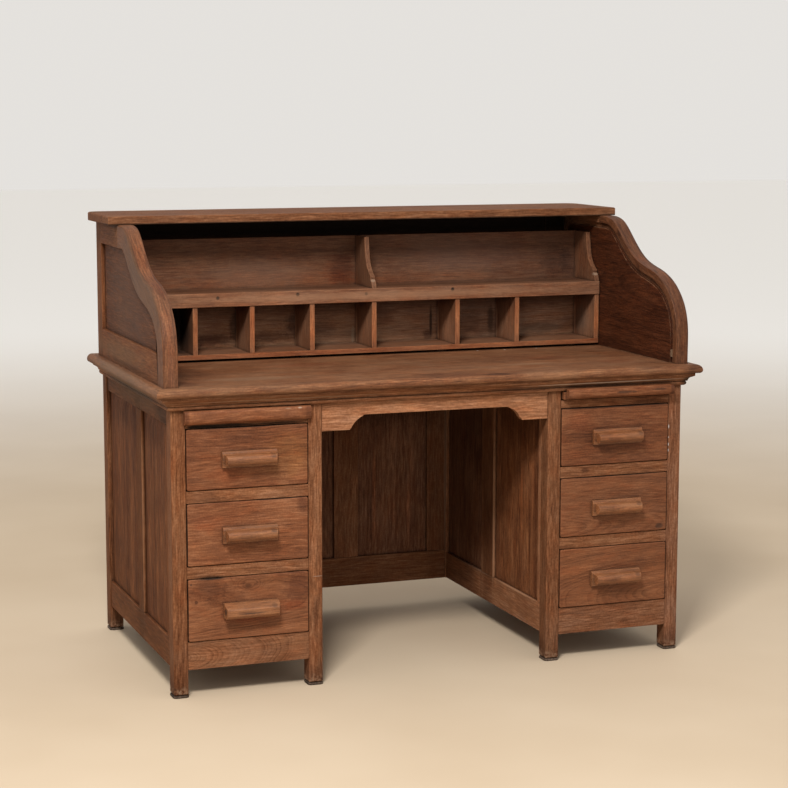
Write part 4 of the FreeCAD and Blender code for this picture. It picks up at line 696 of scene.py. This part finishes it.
# front edge of the gables, (Y in millimetres behind the posts' front plane, Z in millimetres)
SWEEP = [(470, 1151), (432, 1150.5), (400, 1146), (376, 1137), (354, 1123), (325, 1100), (294, 1076),
         (262, 1055), (226, 1038.5), (192, 1029), (160, 1022), (131, 1015), (104, 1005), (75, 990.5),
         (45, 967.5), (22, 942), (6, 912), (-2.5, 880), (-5, 845), (-5, 780)]


def along_scroll(c):
    """(length along the sweep, depth behind it, X) of a point, so that the grain runs with the scroll."""
    y, z = (c.y + CY) * 1000.0, c.z * 1000.0
    best, run = (1e9, 0.0), 0.0
    for (ay, az_), (by, bz) in zip(SWEEP, SWEEP[1:]):
        dy, dz = by - ay, bz - az_
        ln = math.hypot(dy, dz)
        t = max(0.0, min(1.0, ((y - ay) * dy + (z - az_) * dz) / (ln * ln)))
        d = math.hypot(y - ay - dy * t, z - az_ - dz * t)
        if d < best[0]:
            best = (d, run + ln * t)
        run += ln
    return (best[1] / 1000.0, best[0] / 1000.0, c.x)


def add_attrs(me, node, k, axis=None, fn=None):
    """Wood coordinates, ring coordinates and tone for one solid."""
    rnd = random.Random(zlib.crc32(("%s/%d" % (node, k)).encode()))
    if node.endswith("gable_scroll_stile"):
        fn = along_scroll
    co = [v.co.copy() for v in me.vertices]
    lo = Vector((min(c.x for c in co), min(c.y for c in co), min(c.z for c in co)))
    hi = Vector((max(c.x for c in co), max(c.y for c in co), max(c.z for c in co)))
    c0 = (lo + hi) / 2
    d = hi - lo
    ax = grain_of(node, lo, hi) if axis is None else axis
    rest = [i for i in range(3) if i != ax]
    rest.sort(key=lambda i: -d[i])          # wide across, then thickness
    off = Vector((rnd.uniform(-3, 3), rnd.uniform(-0.45, 0.45) * d[rest[0]], rnd.uniform(-0.3, 0.3)))
    fig = FIGURE.get("%s/%d" % (node, round(lo.z * 1000))) or FIGURE.get(node)
    if fig is None:
        fig = (rnd.choice((-1, 1)) * rnd.uniform(0.015, 0.075), rnd.uniform(0.040, 0.150), rnd.uniform(-0.7, 0.7) * max(d[rest[0]], 0.08))
    wc = me.attributes.new("wc", "FLOAT_VECTOR", "POINT")
    rc = me.attributes.new("rc", "FLOAT_VECTOR", "POINT")
    for i, c in enumerate(co):
        p = c - c0
        v = Vector(fn(c)) if fn else Vector((p[ax], p[rest[0]], p[rest[1]]))
        wc.data[i].vector = (v.x + off.x, v.y + off.y, v.z + off.z)
        rc.data[i].vector = (0.0, v.y - fig[2], v.z + fig[1] + fig[0] * v.x)
    strong = fig[3] if len(fig) > 3 else 0.45
    ra = me.attributes.new("rs", "FLOAT", "POINT")
    for i in range(len(co)):
        ra.data[i].value = strong
    t = me.attributes.new("tone", "FLOAT", "POINT")
    tv = TONE.get("%s/%d" % (node, k), TONE.get(node, None))
    tv = rnd.uniform(0.42, 0.58) if tv is None else tv + rnd.uniform(-0.03, 0.03)
    for i in range(len(co)):
        t.data[i].value = tv


def finish_mesh(bm, name):
    me = bpy.data.meshes.new(name)
    bm.to_mesh(me)
    bm.free()
    me.shade_smooth()
    me.set_sharp_from_angle(angle=math.radians(32))
    return me


def join(name, meshes, mat, body, nodes=()):
    objs = []
    for i, me in enumerate(meshes):
        o = bpy.data.objects.new("%s_%d" % (name, i), me)
        bpy.context.scene.collection.objects.link(o)
        objs.append(o)
    if len(objs) > 1:
        with bpy.context.temp_override(active_object=objs[0], selected_objects=objs, selected_editable_objects=objs,
                                       object=objs[0]):
            bpy.ops.object.join()
    o = objs[0]
    o.name = name
    o.data.name = name
    o.data.materials.clear()
    o.data.materials.append(mat)
    wn = o.modifiers.new("wn", "WEIGHTED_NORMAL")
    wn.keep_sharp = True
    wn.weight = 80
    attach(o, body)
    if nodes:
        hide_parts(*nodes)
    return o


BEVEL = {**{"%s_%s_drawer_front" % (a, b): 0.0026 for a in ("left", "right") for b in ("upper", "middle", "lower")},
         "top_board": 0.0020, "left_side_frames": 0.0026, "right_side_frames": 0.0026, "kneehole_back_frame": 0.0028, "foot_glides": 0.0, "desktop_edge_bands": 0.0008, "desktop_board": 0.0006, "gable_linings": 0.0010,
         "gallery_dividers": 0.0010, "gallery_base": 0.0012}

# several right-hand pieces (drawer fronts, rails, slide, inner post, scroll stile, pulls) are set darker than their
# left-hand twins: painted shade of the light falling off to the right; the gallery dividers are set lighter: painted
# light in the pigeonholes
TONE.update({
    "gallery_back": 0.41, "gallery_fascia": 0.69, "gallery_base": 0.54, "gallery_shelf": 0.52, "gallery_dividers": 0.70,
    "gallery_brackets": 0.46, "top_board": 0.34, "desktop_board": 0.54, "desktop_edge_bands": 0.54, "bed_moulding": 0.66,
    "left_lower_drawer_front": 0.47, "left_upper_drawer_front": 0.43, "left_middle_drawer_front": 0.53,
    "right_upper_drawer_front": 0.38, "right_middle_drawer_front": 0.34, "right_lower_drawer_front": 0.36,
    "left_writing_slide": 0.56, "right_writing_slide": 0.42,
    "kneehole_apron": 0.90, "left_outer_front_post": 0.42, "left_inner_front_post": 0.42,
    "right_inner_front_post": 0.30, "right_outer_front_post": 0.42,
    "left_gable_panel": 0.26, "left_gable_rails": 0.32, "left_gable_scroll_stile": 0.34, "right_gable_scroll_stile": 0.15,
    "left_side_frames": 0.32, "left_side_panels": 0.34, "left_rear_posts": 0.34, "left_front_rails": 0.56, "right_front_rails": 0.48,
    "kneehole_back_panels": 0.54,
    "right_upper_drawer_pull": 0.40, "right_middle_drawer_pull": 0.44, "right_lower_drawer_pull": 0.46, "kneehole_back_frame": 0.40,
})
MAT_OF = {"left_gable_scroll_stile": "scroll_wood", "right_gable_scroll_stile": "scroll_wood",
          "left_gable_rails": "gable_wood", "right_gable_rails": "gable_wood",
          "kneehole_back_frame": "knee_wood", "left_side_frames": "knee_wood", "right_side_frames": "knee_wood"}

built = {}
for node, obj in sorted(frame["nodes"].items()):
    meshes = []
    for k, polys in enumerate(split_solids(obj.data)):
        bm = solid_mesh(polys, BEVEL.get(node, 0.0014))
        if node.endswith("gable_scroll_stile"):
            bmesh.ops.triangulate(bm, faces=[f for f in bm.faces if len(f.verts) > 4], quad_method="BEAUTY", ngon_method="EAR_CLIP")
        me = finish_mesh(bm, "%s_%d" % (node, k))
        add_attrs(me, node, k)
        meshes.append(me)
    o = join("w_" + node, meshes, MATS[MAT_OF.get(node, SLOT_OF[node])], BODY_OF[node], (node,))
    built[node] = o

# ------------------------------------------------------------------ floor, light, camera
fl = bpy.data.meshes.new("floor")
fl.from_pydata([(-30, -30, 0), (30, -30, 0), (30, 30, 0), (-30, 30, 0)], [], [(0, 1, 2, 3)])
floor = bpy.data.objects.new("floor", fl)
bpy.context.scene.collection.objects.link(floor)
fm = bpy.data.materials.new("floor")
fm.use_nodes = True
fg = G(fm.node_tree)
fb_ = fm.node_tree.nodes["Principled BSDF"]
fn_ = fg.noise(fg.node("ShaderNodeTexCoord").outputs["Object"], 1.3, 3.0, 0.5).outputs[0]
near = fg.ramp(fn_, [(0.3, (0.51, 0.405, 0.290)), (0.7, (0.56, 0.455, 0.335))])
dist = fg.math("DIVIDE", fg.vmath("LENGTH", fg.node("ShaderNodeTexCoord").outputs["Object"]), 12.0)
fg.l.new(fg.mix(fg.ramp(dist, [(0.14, 0.0), (0.70, 1.0)], "EASE"), near, (0.985, 0.972, 0.948)), fb_.inputs["Base Color"])
fb_.inputs["Specular IOR Level"].default_value = 0.1
fb_.inputs["Roughness"].default_value = 0.75
fl.materials.append(fm)

w = bpy.data.worlds.new("studio")
bpy.context.scene.world = w
w.use_nodes = True
bgn = w.node_tree.nodes["Background"]
bgn.inputs[0].default_value = (0.975, 0.945, 0.905, 1.0)
bgn.inputs[1].default_value = 0.80


def area(name, loc, target, size, power, col=(1, 1, 1)):
    d = bpy.data.lights.new(name, "AREA")
    d.shape = "RECTANGLE"
    d.size, d.size_y = size
    d.energy = power
    d.color = col
    o = bpy.data.objects.new(name, d)
    bpy.context.scene.collection.objects.link(o)
    o.location = loc
    o.rotation_mode = "QUATERNION"
    o.rotation_quaternion = (Vector(target) - Vector(loc)).to_track_quat("-Z", "Y")
    return o


area("key", (-1.75, -3.10, 3.95), (0.0, 0.0, 0.6), (0.95, 0.95), 238, (1.0, 0.975, 0.94))

cam_d = bpy.data.cameras.new("camera")
cam = bpy.data.objects.new("camera", cam_d)
bpy.context.scene.collection.objects.link(cam)
az, el, roll = math.radians(-20.43), math.radians(8.06), math.radians(0.06)
back = Vector((math.sin(az) * math.cos(el), -math.cos(az) * math.cos(el), math.sin(el)))
fwd = -back
right = fwd.cross(Vector((0, 0, 1))).normalized()
up = right.cross(fwd)
r2 = math.cos(roll) * right + math.sin(roll) * up
u2 = -math.sin(roll) * right + math.cos(roll) * up
cam.matrix_world = Matrix((
    (r2.x, u2.x, back.x, -1.91065), (r2.y, u2.y, back.y, -4.81048 - CY), (r2.z, u2.z, back.z, 1.46460), (0, 0, 0, 1)))
cam_d.sensor_width = 36.0
cam_d.lens = 2047.93 / 788.0 * 36.0
cam_d.clip_end = 200.0
bpy.context.scene.camera = cam
bpy.context.scene.view_settings.view_transform = "Standard"
